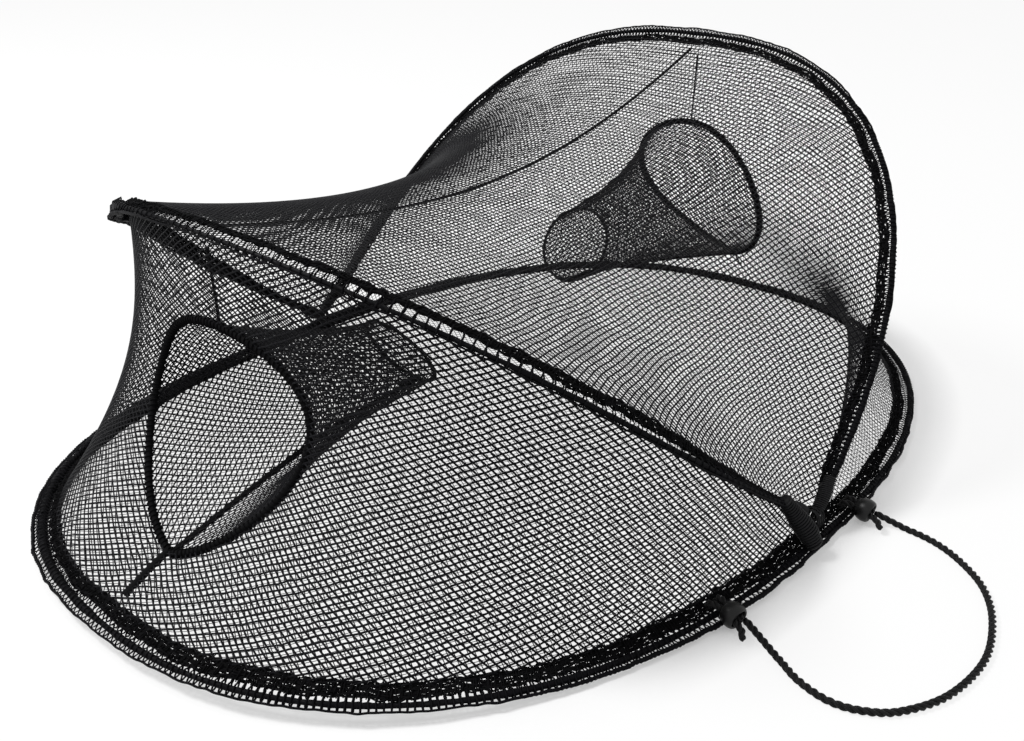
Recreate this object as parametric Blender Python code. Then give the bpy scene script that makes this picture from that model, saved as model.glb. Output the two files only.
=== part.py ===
"""Folding crayfish trap: an oval base hoop and two hinged arches under stretched netting.

Metres, +Z up. X runs from the front funnel (-X) to the rear funnel (+X), Y runs along the
line that both arches hinge on, and the base's underside lies on z = 0.
"""

import math

import bmesh
import bpy
import numpy as np
from mathutils import Vector

# Base hoop
BASE_LENGTH = 0.610
BASE_WIDTH = 0.436
BASE_ROUNDNESS = 2.34
BASE_WIRE_DIAMETER = 0.0032

# Arches, which hinge on one line across the base
ARCH_REACH = 0.281
ARCH_HALF_SPAN = 0.2085
ARCH_ROUNDNESS = 2.48
ARCH_BOW = 0.0040
ARCH_WIRE_DIAMETER = 0.0030
FRONT_ARCH_TILT = math.radians(37.1)
REAR_ARCH_TILT = math.radians(48.8)

# Hinges: a wire eye at each arch end, on a cord tie that stands on the base hem
EYE_BORE = 0.0034
EYE_SPACING = 0.0048
TIE_DIAMETER = 0.0024
TIE_KNOT_DIAMETER = 0.0050

# Hems: net cloth folded round each wire, with a sewn band along its inner edge
HEM_CLOTH = 0.0008
HEM_LEG = 0.0102
BAND_WIDTH = 0.0040
BAND_THICKNESS = 0.0010
ARCH_HEM_START = 0.0120

# Netting, shown at a coarser mesh than the real one
NET_THICKNESS = 0.0012
NET_STRAND = 0.0026
NET_COLUMNS = 12
WALL_NET_ROWS = 4
TOP_NET_ROWS = 5
FLOOR_NET_ROWS = 5
NET_END_MARGIN = 0.0160
NET_TUCK = 0.0047
NET_RUN_OUT = 0.0026
SMALLEST_OPEN_CELL = 0.0052

# Pull of the netting along the arches for each unit of pull across, from hem to hem
FRONT_WALL_PULL = 0.28
REAR_WALL_PULL = 1.0
TOP_PULL = 1.14
FLOOR_PULL = 1.0

# Funnel mouths, each a teardrop with its point at the bottom
FRONT_MOUTH_POINT = (-0.2615, 0.000, 0.0275)
FRONT_MOUTH_TOP = (-0.2180, 0.000, 0.1330)
FRONT_MOUTH_WIDTH = 0.118
REAR_MOUTH_POINT = (0.2810, 0.015, 0.0350)
REAR_MOUTH_TOP = (0.1760, 0.000, 0.1630)
REAR_MOUTH_WIDTH = 0.093
MOUTH_DISH = 0.0150
MOUTH_CORD_DIAMETER = 0.0032
MOUTH_HOLE_EXTRA = 0.0040

# Funnel throats, each a round ring
THROAT_DIAMETER = 0.048
THROAT_CORD_DIAMETER = 0.0030
FRONT_THROAT_CENTRE = (-0.1060, 0.000, 0.0820)
REAR_THROAT_CENTRE = (0.0490, 0.000, 0.1050)
THROAT_TILT = math.radians(30)
FUNNEL_THICKNESS = 0.0012
FUNNEL_DRAW_IN = 0.0060

# Seams along the middle of the netting
SEAM_WIDTH = 0.0030
SEAM_THICKNESS = 0.0010
SEAM_TRIM = 0.10

# Carrying rope and its two stops on the base hem
ROPE_DIAMETER = 0.0038
FRONT_STOP_X = -0.0955
REAR_STOP_X = 0.0305
STOP_DIAMETER = 0.0130
STOP_LENGTH = 0.0090
STOP_BORE = 0.0090
STOP_DISH = 0.0100
STOP_STANDOFF = 0.0055
STOP_TILT = math.radians(11.5)
STRAND_SPACING = 0.0042
LOOP_SPREAD = 0.0062
LOOP_REACH = 0.0041
LOOP_DEPTH = 0.0043
TAIL_LENGTH = 0.0085
TAIL_SPREAD = 0.0055

CLEARANCE = 0.0003
CORD_LIFT = 0.0001

BASE_SIDES = 48
ARCH_SIDES = 28
WIRE_SIDES = 6
EYE_SIDES = 12
MOUTH_SIDES = 24
THROAT_SIDES = 24
FUNNEL_ROWS = 4
STOP_SIDES = 16
FOLD_TURNS = (90, 30, -30, -90)

UP = np.array([0.0, 0.0, 1.0])
ACROSS = np.array([0.0, 1.0, 0.0])


class Rail:
    """Half of an oval hoop, from the near hinge (-Y) round to the far hinge (+Y).

    In the hoop's own plane r = R sin(p)^(2/n) and y = -S cos(p)^(2/n), p from 0 to pi.
    The netting's pull bows it below that plane by B (27 / 4) s (1 - s)^2 at s = r / R.
    """

    def __init__(self, reach, half_span, roundness, side, tilt, height, bow=0.0):
        sweep = np.linspace(0.0, math.pi, 4001)
        cosine = np.cos(sweep)
        power = 2.0 / roundness
        self.r = reach * np.abs(np.sin(sweep)) ** power
        self.y = -half_span * np.sign(cosine) * np.abs(cosine) ** power
        share = self.r / reach
        self.drop = bow * 27 / 4 * share * (1 - share) ** 2
        steps = np.hypot(np.diff(self.r), np.diff(self.y))
        self.distance = np.concatenate([[0.0], np.cumsum(steps)])
        self.length = self.distance[-1]
        self.outwards = np.array([side * math.cos(tilt), 0.0, math.sin(tilt)])
        self.upwards = np.array([-side * math.sin(tilt), 0.0, math.cos(tilt)])
        self.centre = np.array([0.0, 0.0, height])

    def frame(self, distance):
        """Point on the wire's centreline and its outward normal in the hoop's plane."""
        step = 0.0005
        r, before_r, after_r = np.interp([distance, distance - step, distance + step], self.distance, self.r)
        y, before_y, after_y = np.interp([distance, distance - step, distance + step], self.distance, self.y)
        along = np.array([after_r - before_r, after_y - before_y])
        along /= np.linalg.norm(along)
        drop = np.interp(distance, self.distance, self.drop)
        point = self.centre + r * self.outwards - drop * self.upwards + y * ACROSS
        normal = along[1] * self.outwards - along[0] * ACROSS
        return point, normal

    def point(self, distance, out, up):
        centre, normal = self.frame(distance)
        return centre + out * normal + up * self.upwards

    def distance_at(self, reach):
        """Distance along the near quarter at which the hoop stands out by this much."""
        quarter = len(self.r) // 2
        return float(np.interp(reach, self.r[:quarter], self.distance[:quarter]))


def hem_radius(wire_diameter):
    """Inner radius of the hem's fold, whose flats clear the round wire."""
    half_facet = (FOLD_TURNS[0] - FOLD_TURNS[1]) / 2
    return (wire_diameter / 2 + CLEARANCE) / math.cos(math.radians(half_facet))


BASE_HEM_HALF = hem_radius(BASE_WIRE_DIAMETER) + HEM_CLOTH
ARCH_HEM_HALF = hem_radius(ARCH_WIRE_DIAMETER) + HEM_CLOTH

BASE_REACH = BASE_LENGTH / 2 - BASE_HEM_HALF
BASE_HALF_SPAN = BASE_WIDTH / 2 - BASE_HEM_HALF
FRONT_EYE_Y = ARCH_HALF_SPAN - EYE_SPACING
REAR_EYE_Y = ARCH_HALF_SPAN
WIRE_REACH = ARCH_REACH - ARCH_HEM_HALF
HINGE_HEIGHT = 2 * BASE_HEM_HALF + BAND_THICKNESS + 2 * CLEARANCE + EYE_BORE / 2 + ARCH_WIRE_DIAMETER

base_front = Rail(BASE_REACH, BASE_HALF_SPAN, BASE_ROUNDNESS, -1, 0.0, BASE_HEM_HALF)
base_rear = Rail(BASE_REACH, BASE_HALF_SPAN, BASE_ROUNDNESS, 1, 0.0, BASE_HEM_HALF)
front_arch = Rail(WIRE_REACH, FRONT_EYE_Y, ARCH_ROUNDNESS, -1, FRONT_ARCH_TILT, HINGE_HEIGHT, ARCH_BOW)
rear_arch = Rail(WIRE_REACH, REAR_EYE_Y, ARCH_ROUNDNESS, 1, REAR_ARCH_TILT, HINGE_HEIGHT, ARCH_BOW)


def make_material(name, colour, roughness, metallic=0.0):
    material = bpy.data.materials.new(name)
    material.use_nodes = True
    shader = material.node_tree.nodes["Principled BSDF"]
    shader.inputs["Base Color"].default_value = (*colour, 1.0)
    shader.inputs["Roughness"].default_value = roughness
    shader.inputs["Metallic"].default_value = metallic
    return material


def add_object(name, bm, material, parent=None, sharp_angle=40):
    """Turn a bmesh into a named object, with its normals facing out."""
    bmesh.ops.recalc_face_normals(bm, faces=bm.faces[:])
    mesh = bpy.data.meshes.new(name)
    bm.to_mesh(mesh)
    bm.free()
    mesh.materials.append(material)
    mesh.shade_smooth()
    mesh.set_sharp_from_angle(angle=math.radians(sharp_angle))
    obj = bpy.data.objects.new(name, mesh)
    bpy.context.scene.collection.objects.link(obj)
    if parent is not None:
        obj.parent = parent
        obj.matrix_parent_inverse = parent.matrix_basis.inverted()
    return obj


def skin(rings, closed):
    """Mesh over a row of equal rings of points, capped at both ends unless it closes on itself."""
    bm = bmesh.new()
    rows = [[bm.verts.new(Vector(point)) for point in ring] for ring in rings]
    count = len(rows)
    spans = count if closed else count - 1
    for k in range(spans):
        here, there = rows[k], rows[(k + 1) % count]
        for p in range(len(here)):
            q = (p + 1) % len(here)
            bm.faces.new((here[p], here[q], there[q], there[p]))
    if not closed:
        bm.faces.new(rows[0])
        bm.faces.new(rows[-1])
    return bm


def circle(diameter, sides):
    turns = [2 * math.pi * k / sides for k in range(sides)]
    return [(diameter / 2 * math.cos(turn), diameter / 2 * math.sin(turn)) for turn in turns]


def hem_section(inner_half):
    """Folded cloth seen end on: round the wire, with two legs running inwards."""
    outer_half = inner_half + HEM_CLOTH
    fold = [math.radians(turn) for turn in FOLD_TURNS]
    outside = [(outer_half * math.cos(turn), outer_half * math.sin(turn)) for turn in fold]
    inside = [(inner_half * math.cos(turn), inner_half * math.sin(turn)) for turn in reversed(fold)]
    lower_leg = [(-HEM_LEG, -outer_half), (-HEM_LEG, -inner_half)]
    upper_leg = [(-HEM_LEG, inner_half), (-HEM_LEG, outer_half)]
    return outside + lower_leg + inside + upper_leg


def band_section(hem_half):
    low = hem_half + CLEARANCE
    high = low + BAND_THICKNESS
    left = -HEM_LEG
    right = -HEM_LEG + BAND_WIDTH
    return [(left, low), (right, low), (right, high), (left, high)]


def base_rings(section):
    """One ring of points for each step round the whole base hoop."""
    half = BASE_SIDES // 2
    rings = []
    for k in range(half):
        distance = base_front.length * k / half
        rings.append([base_front.point(distance, out, up) for out, up in section])
    for k in range(half):
        distance = base_rear.length * (1 - k / half)
        rings.append([base_rear.point(distance, out, up) for out, up in section])
    return rings


def arch_rings(rail, section, lead=None):
    """Rings over an arch's hem, with one more at each end where a lead comes closer to the hinge."""
    span = rail.length - 2 * ARCH_HEM_START
    stations = [ARCH_HEM_START + span * k / ARCH_SIDES for k in range(ARCH_SIDES + 1)]
    if lead is not None:
        stations = [lead] + stations + [rail.length - lead]
    return [[rail.point(station, out, up) for out, up in section] for station in stations]


def tube_rings(points, radius, sides, closed=False, reference=UP):
    """Rings of a round tube round a list of points, kept from twisting by a fixed direction."""
    points = [np.array(point, dtype=float) for point in points]
    count = len(points)
    rings = []
    for k, point in enumerate(points):
        before = points[k - 1] if closed or k > 0 else point
        after = points[(k + 1) % count] if closed or k < count - 1 else point
        along = (after - before) / np.linalg.norm(after - before)
        side = np.cross(reference, along)
        side /= np.linalg.norm(side)
        top = np.cross(along, side)
        rings.append([point + a * side + b * top for a, b in circle(2 * radius, sides)])
    return rings


def combine(obj, other, operation):
    """Fuse or cut another closed object with this one, and keep the other as a hidden cutter."""
    other.hide_render = True
    other.display_type = "WIRE"
    modifier = obj.modifiers.new(other.name, "BOOLEAN")
    modifier.operation = operation
    modifier.solver = "EXACT"
    modifier.object = other


def build_base(materials):
    wire = circle(BASE_WIRE_DIAMETER, WIRE_SIDES)
    add_object("base_hoop_wire", skin(base_rings(wire), True), materials["wire"])
    hem = hem_section(hem_radius(BASE_WIRE_DIAMETER))
    base_hem = add_object("base_hem", skin(base_rings(hem), True), materials["hem"])
    add_object("base_hem_band", skin(base_rings(band_section(BASE_HEM_HALF)), True), materials["band"])
    return base_hem


def build_arch(name, rail, eye_y, materials):
    """Wire with an eye at each end, its folded hem and the hem's sewn band, on the hinge axis."""
    hinge = bpy.data.objects.new(name + "_hinge", None)
    hinge.location = (0.0, 0.0, HINGE_HEIGHT)
    bpy.context.scene.collection.objects.link(hinge)
    bpy.context.view_layer.update()

    eye_ring = (EYE_BORE + ARCH_WIRE_DIAMETER) / 2
    section = circle(ARCH_WIRE_DIAMETER, WIRE_SIDES)
    wire = add_object(
        name + "_wire", skin(arch_rings(rail, section, eye_ring), False), materials["wire"], hinge
    )
    for label, y in (("near", -eye_y), ("far", eye_y)):
        turns = [2 * math.pi * (k + 0.5) / EYE_SIDES for k in range(EYE_SIDES)]
        round_eye = [
            rail.centre + eye_ring * (math.cos(turn) * rail.outwards + math.sin(turn) * rail.upwards) + y * ACROSS
            for turn in turns
        ]
        rings = tube_rings(round_eye, ARCH_WIRE_DIAMETER / 2, WIRE_SIDES, closed=True, reference=ACROSS)
        eye = add_object(f"{name}_{label}_eye_form", skin(rings, True), materials["wire"], hinge)
        combine(wire, eye, "UNION")

    hem = hem_section(hem_radius(ARCH_WIRE_DIAMETER))
    add_object(name + "_hem", skin(arch_rings(rail, hem), False), materials["hem"], hinge)
    band = band_section(ARCH_HEM_HALF)
    add_object(name + "_hem_band", skin(arch_rings(rail, band), False), materials["band"], hinge)


def build_hinge_tie(name, side, materials):
    """Cord that stands on the base hem and passes through both wire eyes to a knot."""
    radius = TIE_DIAMETER / 2
    leg_y = REAR_EYE_Y + ARCH_WIRE_DIAMETER / 2 + CLEARANCE + radius
    knot_y = FRONT_EYE_Y - ARCH_WIRE_DIAMETER / 2 - CLEARANCE - TIE_KNOT_DIAMETER / 2
    foot = 2 * BASE_HEM_HALF + CLEARANCE
    bend = radius * 1.2
    route = [
        (0.0, side * leg_y, foot),
        (0.0, side * leg_y, HINGE_HEIGHT - bend),
        (0.0, side * (leg_y - bend * 0.3), HINGE_HEIGHT - bend * 0.3),
        (0.0, side * (leg_y - bend), HINGE_HEIGHT),
        (0.0, side * knot_y, HINGE_HEIGHT),
    ]
    side_axis = np.array([1.0, 0.0, 0.0])
    cord = add_object(name, skin(tube_rings(route, radius, 8, reference=side_axis), False), materials["cord"])
    bm = bmesh.new()
    bmesh.ops.create_icosphere(bm, subdivisions=2, radius=TIE_KNOT_DIAMETER / 2)
    bmesh.ops.translate(bm, verts=bm.verts[:], vec=(0.0, side * knot_y, HINGE_HEIGHT))
    combine(cord, add_object(name + "_knot_form", bm, materials["cord"]), "UNION")


def relax(grid, fixed, pull):
    """Settle the free nodes of a net: each lies at the mean of its four neighbours.

    Neighbours along the hoops weigh `pull`, and neighbours from hem to hem weigh one.
    """
    free = ~fixed
    for _ in range(1500):
        mean = grid.copy()
        along = grid[2:, 1:-1] + grid[:-2, 1:-1]
        across = grid[1:-1, 2:] + grid[1:-1, :-2]
        mean[1:-1, 1:-1] = (pull * along + across) / (2 * pull + 2)
        grid[free] = mean[free]
    return grid


def stretch_net(first, second, first_up, second_up, rows, pull, pinned=None):
    """Grid of net nodes from one hem to the other, tucked into both hems' folds."""
    last = rows + 2
    grid = np.zeros((NET_COLUMNS + 1, last + 1, 3))
    fixed = np.zeros(grid.shape[:2], dtype=bool)
    edge = -NET_TUCK - BASE_WIRE_DIAMETER / 2
    leave = -HEM_LEG - NET_RUN_OUT
    for i in range(NET_COLUMNS + 1):
        share = i / NET_COLUMNS
        d1 = NET_END_MARGIN + (first.length - 2 * NET_END_MARGIN) * share
        d2 = NET_END_MARGIN + (second.length - 2 * NET_END_MARGIN) * share
        grid[i, 0] = first.point(d1, edge, first_up)
        grid[i, last] = second.point(d2, edge, second_up)
        start = first.point(d1, leave, first_up)
        end = second.point(d2, leave, second_up)
        for j in range(1, last):
            grid[i, j] = start + (end - start) * (j - 1) / rows
    fixed[:, [0, 1, last - 1, last]] = True
    fixed[[0, NET_COLUMNS], :] = True
    for (i, j), place in (pinned or {}).items():
        grid[i, j] = place
        fixed[i, j] = True
    return relax(grid, fixed, pull)


def add_net(name, grid, material, hole=()):
    """Net of open cells: a strand along each grid line, with small cells left closed."""
    bm = bmesh.new()
    columns, rows = grid.shape[0] - 1, grid.shape[1] - 1
    nodes = [[None if inside(hole, i, j) else bm.verts.new(Vector(grid[i, j])) for j in range(rows + 1)]
             for i in range(columns + 1)]
    for i in range(columns):
        for j in range(rows):
            if (i, j) in hole:
                continue
            corners = [nodes[i][j], nodes[i + 1][j], nodes[i + 1][j + 1], nodes[i][j + 1]]
            sides = [(corners[k - 1].co - corners[k].co).length for k in range(4)]
            if 0 < j < rows - 1 and min(sides) > SMALLEST_OPEN_CELL:
                frame_cell(bm, corners)
            else:
                bm.faces.new(corners)
    net = add_object(name, bm, material)
    thicken(net, NET_THICKNESS)


def frame_cell(bm, corners):
    """Four strand halves round one open cell, mitred where they meet."""
    inner = []
    for k in range(4):
        back = (corners[k - 1].co - corners[k].co).normalized()
        ahead = (corners[(k + 1) % 4].co - corners[k].co).normalized()
        reach = NET_STRAND / 2 / back.cross(ahead).length
        inner.append(bm.verts.new(corners[k].co + (back + ahead) * reach))
    for k in range(4):
        q = (k + 1) % 4
        bm.faces.new((corners[k], corners[q], inner[q], inner[k]))


def inside(hole, i, j):
    """True for a node with the hole's cells on all four sides."""
    return all((i - a, j - b) in hole for a in (0, 1) for b in (0, 1)) if hole else False


def thicken(obj, thickness):
    modifier = obj.modifiers.new("cloth", "SOLIDIFY")
    modifier.thickness = thickness
    modifier.offset = 0.0
    modifier.use_rim = True


class Mouth:
    """Teardrop on the end wall: h = H (1 - cos t) / 2, y = W/2 sin t sqrt(sin(t / 2)) / peak."""

    PEAK = 0.8301
    MIDDLE = 0.45

    def __init__(self, point, top, width, side):
        self.point = np.array(point)
        self.rise = np.array(top) - self.point
        self.width = width
        self.side = side

    def at(self, turn, wider=0.0):
        across = math.sin(turn) * math.sqrt(abs(math.sin(turn / 2))) / self.PEAK
        height = (1 - math.cos(turn)) / 2
        place = self.point + height * self.rise + self.width / 2 * across * ACROSS
        place[0] -= self.side * MOUTH_DISH * across**2
        if wider:
            middle = self.point + self.rise * self.MIDDLE
            away = place - middle
            away[0] = away[2] * self.rise[0] / self.rise[2]
            place = place + wider * away / np.linalg.norm(away)
        return place

    def evenly(self, count, wider=0.0):
        """Points at even distances, starting from the teardrop's point."""
        turns = np.linspace(0.0, 2 * math.pi, 721)
        fine = np.array([self.at(turn, wider) for turn in turns])
        travel = np.concatenate([[0.0], np.cumsum(np.linalg.norm(np.diff(fine, axis=0), axis=1))])
        targets = travel[-1] * np.arange(count) / count
        return [self.at(turn, wider) for turn in np.interp(targets, travel, turns)]


front_mouth = Mouth(FRONT_MOUTH_POINT, FRONT_MOUTH_TOP, FRONT_MOUTH_WIDTH, -1)
rear_mouth = Mouth(REAR_MOUTH_POINT, REAR_MOUTH_TOP, REAR_MOUTH_WIDTH, 1)


def mouth_hole(mouth):
    """Cells of a wall net that the mouth takes up, and where the nodes round them lie."""
    middle = NET_COLUMNS // 2
    low, high = 2, WALL_NET_ROWS
    cells = {(i, j) for i in range(middle - 2, middle + 2) for j in range(low, high)}
    right = [(middle + 1, low), (middle + 2, low)]
    right += [(middle + 2, j) for j in range(low + 1, high + 1)]
    right += [(middle + 1, high)]
    left = [(2 * middle - i, j) for i, j in reversed(right)]
    nodes = [(middle, low)] + right + [(middle, high)] + left
    margin = MOUTH_CORD_DIAMETER / 2 + CLEARANCE + MOUTH_HOLE_EXTRA
    return cells, dict(zip(nodes, mouth.evenly(len(nodes), margin)))


def build_wall(name, base, arch, mouth, pull, materials):
    """End wall: net from base hem to arch hem, round a corded funnel mouth, with a seam."""
    cells, pinned = mouth_hole(mouth)
    tuck = NET_THICKNESS / 2 + CLEARANCE / 2
    grid = stretch_net(base, arch, tuck, -tuck, WALL_NET_ROWS, pull, pinned)
    add_net(name + "_wall_net", grid, materials["net"], cells)
    cord = tube_rings(mouth.evenly(MOUTH_SIDES), MOUTH_CORD_DIAMETER / 2, WIRE_SIDES, closed=True,
                      reference=np.cross(mouth.rise, ACROSS))
    add_object(name + "_mouth_cord", skin(cord, True), materials["band"])
    middle = NET_COLUMNS // 2
    band_top = 2 * BASE_HEM_HALF + CLEARANCE + BAND_THICKNESS
    foot, head = grid[middle, 1], grid[middle, 2]
    above_band = (band_top + 2 * CLEARANCE - foot[2]) / (head[2] - foot[2])
    lower, upper = [1, 2], [WALL_NET_ROWS, WALL_NET_ROWS + 1]
    add_seam(name + "_lower_seam", grid, lower, mouth.side, materials["band"], above_band, SEAM_TRIM)
    add_seam(name + "_upper_seam", grid, upper, mouth.side, materials["band"], SEAM_TRIM, SEAM_TRIM)


def add_seam(name, grid, rows, side, material, start, end):
    """Flat seam along the middle strand of a net, on its outer face, short of both ends."""
    middle = NET_COLUMNS // 2
    line = [grid[middle, j] for j in range(rows[0], rows[1] + 1)]
    first, last = line[1] - line[0], line[-2] - line[-1]
    line[0] = line[0] + first * start
    line[-1] = line[-1] + last * end
    lift = NET_THICKNESS / 2 + CLEARANCE + SEAM_THICKNESS / 2
    outer = np.array([side * 1.0, 0.0, 0.6]) if side else UP
    add_object(name, skin(strip_rings(line, outer, lift), False), material)


def strip_rings(line, outer, lift):
    """Rings of a flat strip lifted off a line towards the outer side."""
    rings = []
    for k, point in enumerate(line):
        along = line[min(k + 1, len(line) - 1)] - line[max(k - 1, 0)]
        along = along / np.linalg.norm(along)
        across = np.cross(outer, along)
        across /= np.linalg.norm(across)
        normal = np.cross(along, across)
        half_width, half_thickness = SEAM_WIDTH / 2, SEAM_THICKNESS / 2
        corners = [(-half_width, -half_thickness), (half_width, -half_thickness),
                   (half_width, half_thickness), (-half_width, half_thickness)]
        rings.append([point + a * across + (lift + b) * normal for a, b in corners])
    return rings


def throat_circle(centre, side, count):
    """Points round a throat ring, from its lowest, in the order of the mouth's points."""
    leaning = np.array([side * math.sin(THROAT_TILT), 0.0, math.cos(THROAT_TILT)])
    radius = THROAT_DIAMETER / 2
    turns = [2 * math.pi * k / count for k in range(count)]
    return [np.array(centre) + radius * (math.sin(turn) * ACROSS - math.cos(turn) * leaning) for turn in turns]


def stand_off(ring, p, reach, cord_diameter):
    """Distance along `reach` at which the funnel's cloth clears the cord that runs round the ring."""
    along = ring[(p + 1) % len(ring)] - ring[p - 1]
    along = along / np.linalg.norm(along)
    crossing = np.linalg.norm(np.cross(reach, along))
    return (cord_diameter / 2 + CLEARANCE) / crossing


def build_funnel(name, mouth, centre, materials):
    """Net cone from a mouth to its throat ring, drawn in between, with a seam below."""
    wide = mouth.evenly(MOUTH_SIDES)
    narrow = throat_circle(centre, mouth.side, MOUTH_SIDES)
    rows = []
    for k in range(FUNNEL_ROWS + 1):
        share = k / FUNNEL_ROWS
        ring = []
        for p, (a, b) in enumerate(zip(wide, narrow)):
            reach = (b - a) / np.linalg.norm(b - a)
            start = a + reach * stand_off(wide, p, reach, MOUTH_CORD_DIAMETER)
            end = b - reach * stand_off(narrow, p, reach, THROAT_CORD_DIAMETER)
            ring.append(start + (end - start) * share)
        middle = sum(ring) / MOUTH_SIDES
        draw = FUNNEL_DRAW_IN * math.sin(math.pi * share)
        rows.append([p - draw * (p - middle) / np.linalg.norm(p - middle) for p in ring])
    bm = bmesh.new()
    verts = [[bm.verts.new(Vector(p)) for p in ring] for ring in rows]
    for here, there in zip(verts, verts[1:]):
        for p in range(MOUTH_SIDES):
            q = (p + 1) % MOUTH_SIDES
            bm.faces.new((here[p], here[q], there[q], there[p]))
    cone = add_object(name + "_funnel_net", bm, materials["net"])
    thicken(cone, FUNNEL_THICKNESS)

    axis = np.array([-mouth.side * math.cos(THROAT_TILT), 0.0, math.sin(THROAT_TILT)])
    ring = tube_rings(throat_circle(centre, mouth.side, THROAT_SIDES), THROAT_CORD_DIAMETER / 2,
                      WIRE_SIDES, closed=True, reference=axis)
    add_object(name + "_throat_ring", skin(ring, True), materials["wire"])

    line = [row[0] for row in rows]
    line[0] = line[0] + (line[1] - line[0]) * SEAM_TRIM
    lift = FUNNEL_THICKNESS / 2 + 3 * CLEARANCE + SEAM_THICKNESS / 2
    add_object(name + "_funnel_seam", skin(strip_rings(line, -UP, lift), False), materials["band"])


def smooth_path(route, spacing):
    """Points at even spacing on a Catmull-Rom curve through the route's own points."""
    route = np.array(route, dtype=float)
    padded = np.vstack([2 * route[0] - route[1], route, 2 * route[-1] - route[-2]])
    fine = []
    for k in range(1, len(padded) - 2):
        p0, p1, p2, p3 = padded[k - 1 : k + 3]
        for t in np.linspace(0.0, 1.0, 24, endpoint=False):
            fine.append(0.5 * (2 * p1 + (p2 - p0) * t + (2 * p0 - 5 * p1 + 4 * p2 - p3) * t * t
                               + (3 * p1 - p0 - 3 * p2 + p3) * t**3))
    fine.append(route[-1])
    fine = np.array(fine)
    travel = np.concatenate([[0.0], np.cumsum(np.linalg.norm(np.diff(fine, axis=0), axis=1))])
    count = int(round(travel[-1] / spacing))
    targets = np.linspace(0.0, travel[-1], count + 1)
    return np.stack([np.interp(targets, travel, fine[:, axis]) for axis in range(3)], axis=1)


def add_cord(name, route, diameter, spacing, material):
    """Round cord as a bevelled poly curve with filled ends."""
    points = smooth_path(route, spacing)
    points[:, 2] = np.maximum(points[:, 2], diameter / 2 + CORD_LIFT)
    curve = bpy.data.curves.new(name, "CURVE")
    curve.dimensions = "3D"
    curve.bevel_depth = diameter / 2
    curve.bevel_resolution = 2
    curve.use_fill_caps = True
    spline = curve.splines.new("POLY")
    spline.points.add(len(points) - 1)
    for spot, point in zip(spline.points, points):
        spot.co = (*point, 1.0)
    curve.materials.append(material)
    obj = bpy.data.objects.new(name, curve)
    bpy.context.scene.collection.objects.link(obj)
    return obj


class Stop:
    """Frame of one rope stop: `at` gives a point from its distance along, out and down the bore."""

    def __init__(self, x):
        rail = base_front if x < 0 else base_rear
        self.edge, self.out = rail.frame(rail.distance_at(abs(x)))
        self.along = np.cross(UP, self.out)
        self.axis = self.out * math.cos(STOP_TILT) - UP * math.sin(STOP_TILT)
        self.upright = np.cross(self.axis, self.along)
        if self.upright[2] < 0:
            self.upright = -self.upright
        flat = self.edge + self.out * (BASE_HEM_HALF + STOP_STANDOFF)
        lowest = STOP_DIAMETER / 2 * math.cos(STOP_TILT) + STOP_LENGTH / 2 * math.sin(STOP_TILT)
        self.centre = np.array([flat[0], flat[1], lowest + CLEARANCE])

    def at(self, along, out, up=0.0):
        return self.centre + along * self.along + out * self.axis + up * self.upright

    def on_hem(self, along, inwards, height):
        """Point by its distance along the hoop, in from its wire and over the floor."""
        place = self.edge + along * self.along - inwards * self.out
        place[2] = height
        return place


def cut_slot(hem, name, stop):
    """Slot through the hem's upper leg, where the cord loop goes down behind the wire."""
    half_long = LOOP_SPREAD / 2 + ROPE_DIAMETER / 2 + 2 * CLEARANCE
    half_wide = ROPE_DIAMETER / 2 + 1.5 * CLEARANCE
    low, high = BASE_HEM_HALF, 2 * BASE_HEM_HALF + HEM_CLOTH
    outline = [(-half_long, -half_wide), (half_long, -half_wide), (half_long, half_wide), (-half_long, half_wide)]
    rings = [[stop.on_hem(a, LOOP_REACH + b, height) for a, b in outline] for height in (low, high)]
    slot = add_object(name + "_slot_form", skin(rings, False), hem.data.materials[0])
    combine(hem, slot, "DIFFERENCE")


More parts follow.
